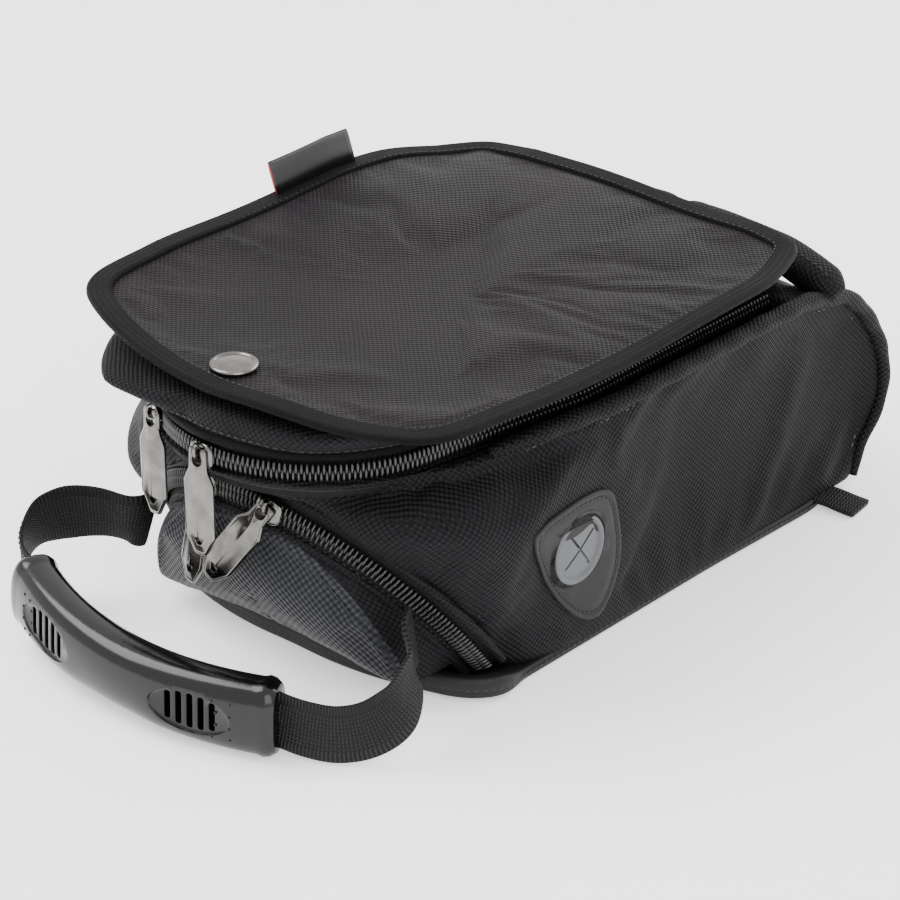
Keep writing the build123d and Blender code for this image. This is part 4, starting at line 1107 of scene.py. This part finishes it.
def make_main_zip():
    plan = zip_path()
    tangent = unit(np.gradient(plan, axis=0))
    out = np.stack([-tangent[:, 1], tangent[:, 0]], 1)
    if out[len(out) // 2, 1] > 0:
        out = -out
    points = np.column_stack([plan, np.full(len(plan), ZIP_Z)])
    facing = np.column_stack([out, np.zeros(len(plan))])
    for name, sign, body_name, shift in (("lower", -1, "bag", 0.0), ("upper", 1, "lid", 1.05)):
        line = points + UP * sign * 1.45
        teeth = bead_row(f"zip_teeth_{name}", line, facing, 2.1, (1.5, 6.0, 3.2), COIL, trim=2.5 + shift)
        finish_piece(teeth, body_name, "zip_coil", f"zip_coil_{name}")
        path = points + UP * sign * 5.8 - facing * 1.9
        tape = sweep(f"zip_tape_{name}_woven", path, facing, band_profile(11.4, 0.9, 1), TAPE)
        finish_piece(tape, body_name, "zip_tape", f"zip_tape_{name}")
        row = bead_row(f"zip_tape_stitch_{name}", points + UP * sign * 6.3 - facing * 1.35, facing, 3.0,
                       (2.1, 0.5, 0.4), THREAD, trim=3.0)
        finish_piece(row, body_name, "zip_tape")
    for name in ("zip_stop_left", "zip_stop_right", "snap_stud", "snap_socket"):
        for slot in frame["nodes"][name].material_slots:
            slot.material = NICKEL


make_main_zip()


def make_lid():
    """The padded lid: a bound roll above the zip, a soft gusset and a low crown under the flap."""
    def ring_at(grow, rear):
        return blurred(whole_ring(zip_half(grow, 30, 60, 24, rear)), 2, True)

    rows, pins = [], []
    spec = ((-14.0, 112.4, 84.0, 1.0), (-5.4, 111.6, 86.5, 1.0), (-2.6, 111.4, 87.5, 1.0), (-0.6, 112.6, 88.0, 1.0),
            (0.6, 114.6, 88.5, 0.5), (1.0, 117.0, 88.5, 0.2), (0.6, 119.6, 88.5, 0.3), (-0.6, 121.9, 88.0, 1.0),
            (-2.6, 123.8, 87.5, 0.6), (-6.0, 125.2, 86.5, 0.2), (-14.0, 126.0, 84.0, 0.0), (-28.0, 126.2, 78.0, 0.0),
            (-42.0, 126.2, 70.0, 0.0), (-54.0, 126.2, 60.0, 0.0))
    for grow, z, rear, pin in spec:
        ring = ring_at(grow, rear)
        corner = np.clip((-88.0 - ring[:, 1]) / 30.0, 0, 1) * np.clip((np.abs(ring[:, 0]) - 14.0) / 26.0, 0, 1)
        flare = np.clip((z - 112.0) / 9.0, 0, 1) * np.clip((grow + 30.0) / 28.0, 0, 1)
        out = np.where(ring[:, 0] < 0, 24.0, 7.0) * corner * flare
        ring = ring + unit(ring - np.array((0.0, -95.0))) * out[:, None]
        rows.append(np.column_stack([ring, np.full(len(ring), z)]))
        pins.append(pin)
    cols = len(rows[0])
    pad = grid_piece("lid_pad", np.stack(rows), NYLON)
    pinned = np.concatenate([np.repeat(pins, cols), [1.0, 0.0]])
    places = np.array([v.co for v in pad.data.vertices]) / MM
    pinned = np.maximum(pinned, np.where(places[:, 2] > 124.5, 0.8, 0.0))
    puff(pad, pinned, 1.2, 0.03, 3.0, bending=0.8)
    pad.data.materials.append(LINING)
    for face in pad.data.polygons:
        if min(face.vertices) // cols < 1 or max(face.vertices) == len(pad.data.vertices) - 2:
            face.material_index = 1
    subdivide(pad)
    finish_piece(pad, "lid", "shell_nylon", "lid_gusset", "lid_panel")
    plan = zip_path(0.5, 2.0)
    welt_line = blurred(np.column_stack([plan, np.full(len(plan), 112.6)]), 2)
    welt = sweep("lid_welt", welt_line, UP, round_profile(1.9, 12), BINDING)
    finish_piece(welt, "lid", "binding_webbing")
    sewn = zip_path(3.0, 2.0)
    line, normals = seated(pad, np.column_stack([sewn, np.full(len(sewn), 116.2)]), 0.3, 4)
    stitch = bead_row("lid_stitch", line, normals, 3.4, (2.4, 0.55, 0.5), THREAD, trim=4.0)
    finish_piece(stitch, "lid", "shell_nylon")


make_lid()


# ---------------------------------------------------------------- top flap
def flap_ring(grow=0.0, count=300):
    half = [(0.0, -178.0), (30.0, -175.5), (60.0, -167.5), (80.0, -158.0), (90.0, -150.5), (96.0, -139.0),
            (99.0, -118.0), (101.5, -95.0), (102.0, -60.0), (102.0, -20.0), (102.0, 20.0), (100.5, 42.0),
            (94.0, 62.0), (86.0, 80.0), (80.0, 85.5), (60.0, 86.5), (0.0, 86.5)]
    line = np.vstack([smoothed(half[:-2], 2.0), [half[-2]], [half[-1]]])
    ring = blurred(whole_ring(spaced(line, count=count // 2 + 1)), 6, True)
    ring[:, 0] *= np.where(ring[:, 0] < 0, 1.035, 1.0)
    return grown(ring, grow) if grow else ring


def flap_height(x, y):
    """How the flap lies: low at the rear corners, lifted at the far edge, with shallow waves."""
    edge = np.clip((np.abs(x) - 60.0) / 42.0, 0, 1)
    z = 130.0 + 5.0 * np.clip((-x - 20.0) / 80.0, 0, 1) ** 1.3 * np.clip((60.0 - y) / 60.0, 0, 1)
    z += 2.6 * np.clip((-y - 110.0) / 50.0, 0, 1) * np.clip((50.0 - x) / 60.0, 0, 1)
    z -= 5.0 * np.clip((y - 30.0) / 60.0, 0, 1) ** 1.6 * edge
    z += 1.0 * np.sin(y * 0.045 + 0.6) * edge
    z += 0.7 * np.sin(x * 0.06 + y * 0.035) * (1 - edge)
    z += 2.2 * np.clip((-y - 150.0) / 28.0, 0, 1) * (1 - np.exp(-((x / 20.0) ** 2)))
    return z


def make_flap():
    ring = flap_ring(-6.0, 300)
    centre = np.array((0.0, -45.0))
    rows, pins = [], []
    for shrink in np.concatenate([[1.0, 0.985, 0.96], np.linspace(0.93, 0.03, 34)]):
        flat = centre + (ring - centre) * shrink
        rows.append(np.column_stack([flat, flap_height(flat[:, 0], flat[:, 1])]))
        pins.append(1.0 if shrink > 0.95 else 0.0)
    grid = np.stack(rows)
    panel = grid_piece("flap_sheet", grid, FLAP_NYLON, cap_start=False)
    pinned = np.concatenate([np.repeat(pins, grid.shape[1]), [0.0]])
    places = np.array([v.co for v in panel.data.vertices]) / MM
    pinned = np.maximum(pinned, np.where(np.hypot(places[:, 0] + 5.0, places[:, 1] + 157.0) < 13.0, 1.0, 0.0))
    puff(panel, pinned, 0.0, 0.012, 2.2, bending=2.0)
    places = np.array([v.co for v in panel.data.vertices])
    places[:, 2] = np.maximum(places[:, 2], 128.3 * MM)
    low_rear = flap_height(places[:, 0] / MM, places[:, 1] / MM) * MM - 0.0015
    places[:, 2] = np.maximum(places[:, 2], np.minimum(low_rear, 128.6 * MM))
    panel.data.vertices.foreach_set("co", places.astype(np.float32).ravel())
    solid = panel.modifiers.new("cloth thickness", "SOLIDIFY")
    solid.thickness = 0.0012
    solid.offset = -1.0
    bpy.context.view_layer.objects.active = panel
    bpy.ops.object.modifier_apply(modifier=solid.name)
    flat = flap_ring(-6.0, 300)
    x, y = flat[:, 0] * MM, flat[:, 1] * MM
    area = 0.5 * abs(np.dot(x, np.roll(y, 1)) - np.dot(y, np.roll(x, 1)))
    rim = flap_ring(-4.6, 300)
    edge = np.column_stack([rim, flap_height(rim[:, 0], rim[:, 1])])
    binding = sweep("flap_binding_tape", edge, UP, band_profile(10.4, 3.0, 4), BINDING, closed=True)
    finish_piece(binding, "flap", "binding_webbing", "flap_binding")
    sewn = flap_ring(-8.6, 300)
    high = np.column_stack([sewn, flap_height(sewn[:, 0], sewn[:, 1]) + 1.45])
    stitch = bead_row("flap_stitch_0", np.vstack([high, high[:1]]), UP, 3.2, (2.3, 0.55, 0.45), THREAD)
    finish_piece(stitch, "flap", "binding_webbing")
    finish_piece(panel, "flap", "flap_nylon", "flap_panel")


make_flap()


def lathe(name, profile, centre, skin, count=40):
    """A turned piece from (radius, height) pairs."""
    a = np.linspace(0, math.tau, count, endpoint=False)
    rows = [np.stack([centre[0] + r * np.cos(a), centre[1] + r * np.sin(a), np.full(count, centre[2] + z)], 1)
            for r, z in profile]
    return grid_piece(name, np.stack(rows), skin)


def make_snap():
    z = float(flap_height(np.array(-5.0), np.array(-157.0)))
    profile = ((2.0, -2.0), (9.0, -0.3), (9.6, 0.5), (9.7, 1.3), (9.3, 2.0), (8.5, 2.3), (7.9, 2.1), (7.5, 1.7),
               (6.9, 1.8), (5.0, 2.3), (2.5, 2.6), (0.6, 2.7))
    cap = lathe("snap_cap_domed", profile, (-5.0, -157.0, z), NICKEL, 56)
    finish_piece(cap, "flap", "slider_metal", "snap_cap")


make_snap()


def make_label():
    """A folded loop label standing on the far edge of the flap."""
    x0 = -101.5
    y = np.linspace(-33.0, 15.0, 22)
    z0 = flap_height(np.full(22, x0), y) + 1.2
    lean = 0.9 * np.sin(np.linspace(0, 3.0, 22))
    outline = [(-0.55, 0.0), (-0.7, 4.0), (-0.75, 8.0), (-0.5, 10.4), (0.0, 11.2), (0.5, 10.4), (0.75, 8.0), (0.7, 4.0),
               (0.55, 0.0)]
    grid = np.stack([np.column_stack([x0 + dx + lean * (dz / 11.0) - dz * 0.45, y, z0 + dz * 1.25])
                     for dx, dz in outline], 1)
    uvs = np.stack(np.meshgrid(y / 10, np.arange(9) * 0.28, indexing="ij"), -1)
    label = grid_piece("loop_label_satin", grid, SATIN, True, True, True, uvs)
    label.data.materials.append(RED_EDGE)
    for face in label.data.polygons:
        at = sum((label.data.vertices[i].co for i in face.vertices), Vector()) / len(face.vertices)
        if at.y / MM < -32.9:
            face.material_index = 1
    finish_piece(label, "flap", "label_satin", "loop_label")


make_label()


# ---------------------------------------------------------------- zip sliders and pulls
def local_grid(points, origin, axes):
    """Points in a slider's own frame (along the chain, away from the tape, across) set in place."""
    return np.asarray(origin) + np.asarray(points) @ np.stack(axes)


def outline_slab(name, outline, levels, skin, place):
    """A plate from one outline: levels are (inset, height) rows, closed at both ends."""
    outline = np.asarray(outline, float)
    rows = []
    for inset, height in levels:
        ring = grown(outline, -inset)
        rows.append(place(np.column_stack([ring[:, 0], np.full(len(ring), height), ring[:, 1]])))
    return grid_piece(name, np.stack(rows), skin)


def rounded(points, radius, steps=5):
    """A polygon with its corners rounded."""
    p = np.asarray(points, float)
    out = []
    for i in range(len(p)):
        a, b, c = p[i - 1], p[i], p[(i + 1) % len(p)]
        ab, cb = unit(a - b), unit(c - b)
        r = min(radius, np.linalg.norm(a - b) * 0.45, np.linalg.norm(c - b) * 0.45)
        for t in np.linspace(0, 1, steps):
            q0, q1 = b + ab * r * (1 - t), b + cb * r * t
            out.append(q0 * (1 - t) + q1 * t)
    return np.array(out)


def cut_hole(obj, centre, axis, radius):
    """A round hole through a piece, millimetres."""
    bpy.ops.mesh.primitive_cylinder_add(vertices=28, radius=radius * MM, depth=0.02)
    drill = bpy.context.object
    drill.matrix_world = (Vector(axis).to_track_quat("Z", "Y").to_matrix().to_4x4())
    drill.location = Vector(centre) * MM
    bpy.context.view_layer.update()
    modifier = obj.modifiers.new("hole", "BOOLEAN")
    modifier.operation = "DIFFERENCE"
    modifier.object = drill
    modifier.solver = "EXACT"
    bpy.context.view_layer.objects.active = obj
    bpy.ops.object.modifier_apply(modifier=modifier.name)
    bpy.data.objects.remove(drill)


def edge_soft(obj, width=0.25, segments=2, angle=0.5):
    modifier = obj.modifiers.new("soft edges", "BEVEL")
    modifier.width = width * MM
    modifier.segments = segments
    modifier.limit_method = "ANGLE"
    modifier.angle_limit = angle
    bpy.context.view_layer.objects.active = obj
    bpy.ops.object.modifier_apply(modifier=modifier.name)
    flat_smooth(obj)


def flat_smooth(obj, angle=0.6):
    """Smooth shading that keeps crisp facets."""
    bm = bmesh.new()
    bm.from_mesh(obj.data)
    for edge in bm.edges:
        edge.smooth = len(edge.link_faces) < 2 or edge.calc_face_angle(0.0) < angle
    bm.to_mesh(obj.data)
    bm.free()


def make_slider(name, body_name, pull_body, pin, along, away, tilt=0.0, twist=0.0):
    """A wedge slider with its bridge, and a faceted pull hanging on the bridge, tilted and twisted by degrees."""
    along, away = unit(np.array(along)), unit(np.array(away))
    across = np.cross(along, away)
    across = across if across[2] > 0 else -across
    pin_y, pin_z = 1.5 + 0.6 + 1.2 + 0.4 + 0.9, 10.5 / 2 - 1.2 - 0.4 - 0.9 - 0.4
    origin = np.array(pin) / MM - away * pin_y - across * pin_z
    axes = (along, away, across)

    def place(points):
        return local_grid(points, origin, axes)

    plate = rounded([(-6.0, -3.4), (-3.0, -5.2), (5.0, -4.6), (6.0, -2.0), (6.0, 2.0), (5.0, 4.6), (-3.0, 5.2),
                     (-6.0, 3.4)], 2.0, 4)
    front = outline_slab(f"{name}_front", plate, ((0.5, 2.1), (0.0, 2.4), (0.0, 2.9), (0.5, 3.3), (1.6, 3.5)),
                         NICKEL, place)
    back = outline_slab(f"{name}_back", plate, ((1.2, -4.1), (0.4, -4.0), (0.0, -3.7), (0.0, -3.2), (0.4, -2.9)),
                        NICKEL, place)
    post = outline_slab(f"{name}_post", rounded([(-4.5, -0.45), (-1.5, -0.45), (-1.5, 0.45), (-4.5, 0.45)], 0.3, 3),
                        ((0, -3.2), (0, 2.6)), NICKEL, place)
    bridge_path = [(0, 3.0, 5.0), (0, 4.4, 5.2), (0, 6.2, 4.6), (0, 6.7, 2.4), (0, 6.2, 0.2), (0, 4.6, -0.6),
                   (0, 3.0, -0.8)]
    bridge = sweep(f"{name}_bridge", smoothed(place(bridge_path), 0.5), along, band_profile(1.0, 2.0, 3), NICKEL)
    slider = join_pieces(f"{name}_body", [front, back, post, bridge])
    edge_soft(slider, 0.12, 1)
    finish_piece(slider, body_name, "slider_metal", body_name)

    turn, lean = math.radians(twist), math.radians(tilt)
    broad = along * math.cos(turn) + away * math.sin(turn)
    faced = away * math.cos(turn) - along * math.sin(turn)
    axes = (broad * math.cos(lean) + across * math.sin(lean), faced, across * math.cos(lean) - broad * math.sin(lean))
    origin = np.array(pin) / MM - np.array((0.0, pin_y, pin_z)) @ np.stack(axes)
    half, top, end = 7.0, pin_z, pin_z - 45.0
    outline = rounded([(-3.9, top + 1.1), (3.9, top + 1.1), (4.3, top - 8.0), (half, top - 13.5), (half, end + 8.5),
                       (2.6, end), (-2.6, end), (-half, end + 8.5), (-half, top - 13.5), (-4.3, top - 8.0)], 1.0, 3)
    mid = pin_y
    rows = []
    ridge = np.array([(0.0, np.clip(z, end + 7.5, top - 12.0)) for _, z in outline])
    for factor, height in ((0.94, mid - 1.0), (1.0, mid - 0.6), (1.0, mid + 0.35), (0.86, mid + 0.75),
                           (0.80, mid + 0.62), (0.45, mid + 1.15), (0.04, mid + 1.75)):
        ring = ridge + (outline - ridge) * factor
        rows.append(place(np.column_stack([ring[:, 0], np.full(len(ring), height), ring[:, 1]])))
    pull = grid_piece(f"{name}_pull", np.stack(rows), NICKEL)
    cut_hole(pull, place([(0.0, mid, top - 3.8)])[0], faced, 2.5)
    cut_hole(pull, place([(0.0, mid, end + 6.4)])[0], faced, 1.7)
    edge_soft(pull, 0.18, 2, 0.35)
    finish_piece(pull, pull_body, "slider_metal", pull_body)


PULL_HANG = {   # tilt along the zip and twist about the pull's own length, degrees
    "main_left": (0.0, 32.0), "main_right": (0.0, 8.0),
    "pocket_left": (14.0, 0.0), "pocket_right": (26.0, 0.0),
}


def make_sliders():
    for side in ("left", "right"):
        joint = JOINTS[f"main_pull_{side}_swing"]
        along = np.array(joint["axis"])
        away = np.array((joint["pos_m"][0], joint["pos_m"][1], 0.0)) - np.array((0.0, NOSE[1] * MM, 0.0))
        make_slider(f"main_{side}", f"main_slider_{side}", f"main_pull_{side}", joint["pos_m"], along, away,
                    *PULL_HANG[f"main_{side}"])
        joint = JOINTS[f"pocket_pull_{side}_swing"]
        along = np.array(joint["axis"])
        centre = face_point(0.0, ARCH_V, 7.5)
        outward = np.array(joint["pos_m"]) / MM - centre
        outward = unit(outward - FACE_OUT * np.dot(outward, FACE_OUT))
        away = unit(outward + FACE_OUT)
        make_slider(f"pocket_{side}", f"pocket_slider_{side}", f"pocket_pull_{side}", joint["pos_m"], along, away,
                    *PULL_HANG[f"pocket_{side}"])


make_sliders()


# ---------------------------------------------------------------- handle
GRIP_ENDS = np.array([(-84.0, -196.0, 24.0), (-16.0, -212.0, 19.0), (52.0, -195.0, 16.5)])


def grip_path(count=61):
    """The grip's bowed centre line, through its ends and middle."""
    a, b, c = GRIP_ENDS
    e1 = unit(c - a)
    n = unit(np.cross(c - a, b - a))
    e2 = np.cross(n, e1)
    flat = [(np.dot(p - a, e1), np.dot(p - a, e2)) for p in (a, b, c)]
    line = arc_through(*flat, count)
    return a + line[:, :1] * e1 + line[:, 1:] * e2


def make_grip():
    path = grip_path()
    t = np.linspace(0, 1, len(path))
    forward = np.array((0.0, -1.0, 0.0))
    height = 15.6 - 1.0 * np.sin(t * math.pi) ** 2
    depth = 9.8 + 0.6 * np.sin(t * math.pi) ** 2
    ends = np.clip(np.minimum(t, 1 - t) / 0.02, 0, 1) ** 0.5
    base = round_profile(1.0, 40)
    square = np.sign(base) * np.abs(base) ** 0.72
    collar = 1 + 0.05 * np.exp(-(((np.minimum(t, 1 - t) - 0.03) / 0.012) ** 2))
    profile = np.stack([square[None, :, 0] * (height * collar * (0.9 + 0.1 * ends))[:, None],
                        square[None, :, 1] * (depth * collar * (0.85 + 0.15 * ends))[:, None]], -1)
    # thumb recess in the middle of the upper front edge
    recess = np.exp(-(((t - 0.5) / 0.13) ** 4))
    high = np.clip(profile[..., 0] / 15.0, 0, 1)
    profile[..., 1] -= np.sign(profile[..., 1]) * (recess[:, None] * high * 1.6) * (profile[..., 1] > 0)
    core = sweep("grip_moulding", path, np.broadcast_to(forward, path.shape), profile, GLOSS_PLASTIC)
    return core, path


def make_handle():
    grip, path = make_grip()
    tangent = unit(np.gradient(path, axis=0))
    side = unit(np.cross(tangent, np.array((0.0, -1.0, 0.0))))
    front = unit(np.cross(side, tangent))
    drills = []
    for at in (0.235, 0.765):
        i = int(round(at * (len(path) - 1)))
        axes = (tangent[i], side[i], front[i])
        a = np.linspace(0, math.tau, 48, endpoint=False)
        oval = np.stack([17.5 * np.cos(a), 9.6 * np.sin(a)], 1) * (1 + 0.04 * np.cos(2 * a))[:, None]
        rows = []
        for scale, depth in ((0.9, 8.0), (0.97, 8.5), (1.06, 12.5)):
            rows.append(path[i] + (oval[:, :1] * scale) * axes[0] + (oval[:, 1:] * scale) * axes[1]
                        + np.full((48, 1), depth) * axes[2])
        drills.append(grid_piece("window", np.stack(rows), GLOSS_PLASTIC))
        for k in range(5):
            u = (k - 2) * 4.9
            reach = 7.6 * math.sqrt(max(1 - (u / 17.0) ** 2, 0.1))
            slot = rounded([(u - 1.35, -reach), (u + 1.35, -reach), (u + 1.35, reach), (u - 1.35, reach)], 1.3, 5)
            rows = [path[i] + slot[:, :1] * axes[0] + slot[:, 1:] * axes[1] + np.full((len(slot), 1), d) * axes[2]
                    for d in (3.0, 9.5)]
            drills.append(grid_piece("slot", np.stack(rows), GLOSS_PLASTIC))
    for drill in drills:
        modifier = grip.modifiers.new("cut", "BOOLEAN")
        modifier.operation = "DIFFERENCE"
        modifier.solver = "EXACT"
        modifier.object = drill
        bpy.context.view_layer.objects.active = grip
        bpy.ops.object.modifier_apply(modifier=modifier.name)
        bpy.data.objects.remove(drill)
    edge_soft(grip, 0.35, 2, 0.7)
    dots = []
    for i_at in (0.11, 0.155, 0.84, 0.885):
        i = int(round(i_at * (len(path) - 1)))
        for up in (-8.0, -2.5, 3.0, 8.5):
            dots.append((path[i] + side[i] * up, front[i]))
    seat = surface_of(grip)
    beads = []
    for point, normal in dots:
        spot, _ = seat(point + normal * 10.0)
        beads.append(bead_row("grip_dot", np.array([spot - tangent[0] * 0.01, spot + tangent[0] * 0.01]),
                              normal, 10.0, (1.5, 1.5, 1.0), GLOSS_PLASTIC))
    dotted = join_pieces("grip_dots", beads)
    finish_piece(dotted, "handle", "grip_plastic")
    seam = sweep("grip_seam", path[2:-2] + side[2:-2] * 15.0, front[2:-2], round_profile(0.5, 6), GLOSS_PLASTIC)
    finish_piece(seam, "handle", "grip_plastic")
    finish_piece(grip, "handle", "grip_plastic", "grip_front", "grip_rear", "grip_strap")


make_handle()


def strap(name, points, ups, skin, width=25.0, thickness=1.8):
    """A flat strap through the points, its face turned from one 'up' to the next."""
    path = smoothed(points, 1.5)
    key = lengths_along(np.asarray(points, float))
    at = lengths_along(path) / lengths_along(path)[-1]
    ups = np.asarray(ups, float)
    turned = unit(np.stack([np.interp(at, key / key[-1], ups[:, k]) for k in range(3)], 1))
    tangent = unit(np.gradient(path, axis=0))
    wide = unit(turned - tangent * np.sum(turned * tangent, axis=1, keepdims=True))
    normal = unit(np.cross(wide, tangent))
    made = sweep(name, path, normal, band_profile(width, thickness, 3), skin)
    subdivide(made)
    return made, path, wide, normal


def make_webbing():
    up = (0.0, 0.0, 1.0)
    left = [(-80.0, -197.5, 24.5), (-92.0, -192.5, 26.0), (-101.0, -184.5, 31.0), (-103.5, -174.0, 36.0),
            (-97.0, -163.0, 39.0), (-86.0, -154.5, 39.5), (-74.5, -149.0, 38.0), (-71.2, -141.0, 36.0)]
    left_up = [up, (0.05, -0.1, 1), (0.25, -0.25, 0.9), (0.2, -0.1, 1), (0, -0.05, 1), (0, -0.2, 0.95),
               (0, -0.25, 0.9), (0, -0.3, 0.9)]
    right = [(48.0, -196.5, 16.6), (62.0, -192.0, 14.4), (74.0, -185.5, 13.6), (83.0, -176.0, 16.0),
             (87.5, -166.0, 22.5), (85.0, -156.0, 31.5), (77.0, -149.5, 37.5), (71.6, -140.5, 36.5)]
    right_up = [up, (0, 0.02, 1), (0.02, 0.05, 1), (0.0, 0.1, 1), (-0.1, 0.05, 1), (-0.1, -0.1, 1), (0, -0.2, 0.95),
                (0, -0.3, 0.9)]
    for side_name, points, ups in (("left", left, left_up), ("right", right, right_up)):
        made, path, wide, normal = strap(f"handle_web_{side_name}", points, ups, WEBBING)
        tuple(np.array(points[-2]) * MM)
        tuple(np.array(points[3]) * MM)
        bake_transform(made)
        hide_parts(f"handle_webbing_{side_name}", f"handle_tab_{side_name}")
        lines = []
        for shift in (-10.6, 10.6):
            line = path[4:-2] + wide[4:-2] * shift + normal[4:-2] * 0.95
            lines.append(bead_row("edge_rib", line, normal[4:-2], 2.6, (2.0, 0.6, 0.5), THREAD))
        ribs = join_pieces(f"handle_web_rib_{side_name}", lines)
        tuple(np.array(points[-2]) * MM)
        tuple(np.array(points[3]) * MM)
        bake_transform(ribs)


make_webbing()


# ---------------------------------------------------------------- cable port
def make_port():
    """A shield of rubber with a stitched groove, and a slit grommet, laid on the side panel."""
    seat = surface_of(body)
    shield = smoothed([(-95.0, 70.5), (-80.0, 73.0), (-60.0, 72.5), (-45.0, 68.0), (-40.0, 56.0), (-37.5, 42.0),
                       (-38.5, 28.0), (-43.5, 16.0), (-49.0, 11.5), (-58.0, 14.0), (-69.0, 24.0), (-79.0, 37.0),
                       (-88.0, 52.0), (-95.0, 65.0)], 1.2, True)
    shield = spaced(shield, count=120, closed=True)
    centre = np.array((-62.0, 46.0))

    def skin_point(y, z, lift):
        spot, _ = seat(np.array((92.0, y, z)))
        return np.array((spot[0] + lift, y, z))

    levels = [(1.0, -0.6), (1.0, 0.9), (0.985, 1.5), (0.93, 1.7), (0.905, 1.15), (0.875, 1.15), (0.85, 1.7),
              (0.7, 1.75), (0.55, 1.75)]
    rows = []
    for scale, lift in levels:
        flat = centre + (shield - centre) * scale
        rows.append(np.stack([skin_point(y, z, lift) for y, z in flat]))
    hole_centre = np.array((-64.0, 49.5))
    a = np.arctan2(shield[:, 1] - hole_centre[1], shield[:, 0] - hole_centre[0])
    for radius, lift in ((17.0, 1.8), (15.4, 1.8), (15.0, 1.2)):
        flat = hole_centre + radius * np.stack([np.cos(a), np.sin(a)], 1)
        rows.append(np.stack([skin_point(y, z, lift) for y, z in flat]))
    grid = np.stack(rows)
    for _ in range(3):
        grid[..., 0] = (np.roll(grid[..., 0], 1, 1) + 2 * grid[..., 0] + np.roll(grid[..., 0], -1, 1)) / 4
    patch = grid_piece("port_shield", grid, PATCH_RUBBER, True, True, True)
    finish_piece(patch, "bag", "port_rubber", "port_patch")
    groove = centre + (shield - centre) * 0.89
    line = np.stack([skin_point(y, z, 1.35) for y, z in np.vstack([groove, groove[:1]])])
    line = blurred(line, 3)
    stitch = bead_row("port_stitch", line, RIGHT, 3.0, (2.1, 0.55, 0.5), THREAD)
    finish_piece(stitch, "bag", "port_rubber")
    base = skin_point(hole_centre[0], hole_centre[1], 0.0)[0]
    rows = []
    ring = np.linspace(0, math.tau, 72, endpoint=False)
    for radius, lift in ((14.4, 0.4), (14.8, 1.9), (14.2, 2.6), (13.2, 2.7), (12.6, 2.1), (12.2, 1.6), (8.0, 1.8),
                         (4.0, 2.0), (0.4, 2.1)):
        rows.append(np.stack([np.full(72, base + lift), hole_centre[0] + radius * np.cos(ring),
                              hole_centre[1] + radius * np.sin(ring)], 1))
    grommet = grid_piece("port_grommet_slit", np.stack(rows), GROMMET_RUBBER, True, True, True)
    slits = []
    for turn in (0.62, 0.62 + math.pi / 2):
        along = np.array((0.0, math.cos(turn), math.sin(turn)))
        wide = np.array((0.0, -math.sin(turn), math.cos(turn)))
        centre3 = np.array((base + 2.0, *hole_centre))
        corners = [centre3 + along * s * 10.5 + wide * w * 0.55 for s, w in ((-1, -1), (1, -1), (1, 1), (-1, 1))]
        block = np.stack([np.array(corners) - RIGHT * 0.9, np.array(corners) + RIGHT * 2.0])
        slits.append(grid_piece("slit", block, GROMMET_RUBBER))
    for slit in slits:
        modifier = grommet.modifiers.new("slit", "BOOLEAN")
        modifier.operation = "DIFFERENCE"
        modifier.solver = "EXACT"
        modifier.object = slit
        bpy.context.view_layer.objects.active = grommet
        bpy.ops.object.modifier_apply(modifier=modifier.name)
        bpy.data.objects.remove(slit)
    flat_smooth(grommet, 0.9)
    finish_piece(grommet, "bag", "grommet_rubber", "port_grommet")
    for slot in frame["nodes"]["port_ring"].material_slots:
        slot.material = GROMMET_RUBBER


make_port()

# ---------------------------------------------------------------- floor, sizes and finish
bpy.ops.mesh.primitive_grid_add(x_subdivisions=8, y_subdivisions=8, size=8.0)
floor = bpy.context.object
floor.name = "floor"
floor.data.materials.append(FLOOR)
floor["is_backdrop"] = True


def plain(corners):
    return [[float(v) for v in corner] for corner in corners]


{"cad": plain(CAD_BOX), "visual": plain(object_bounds())}
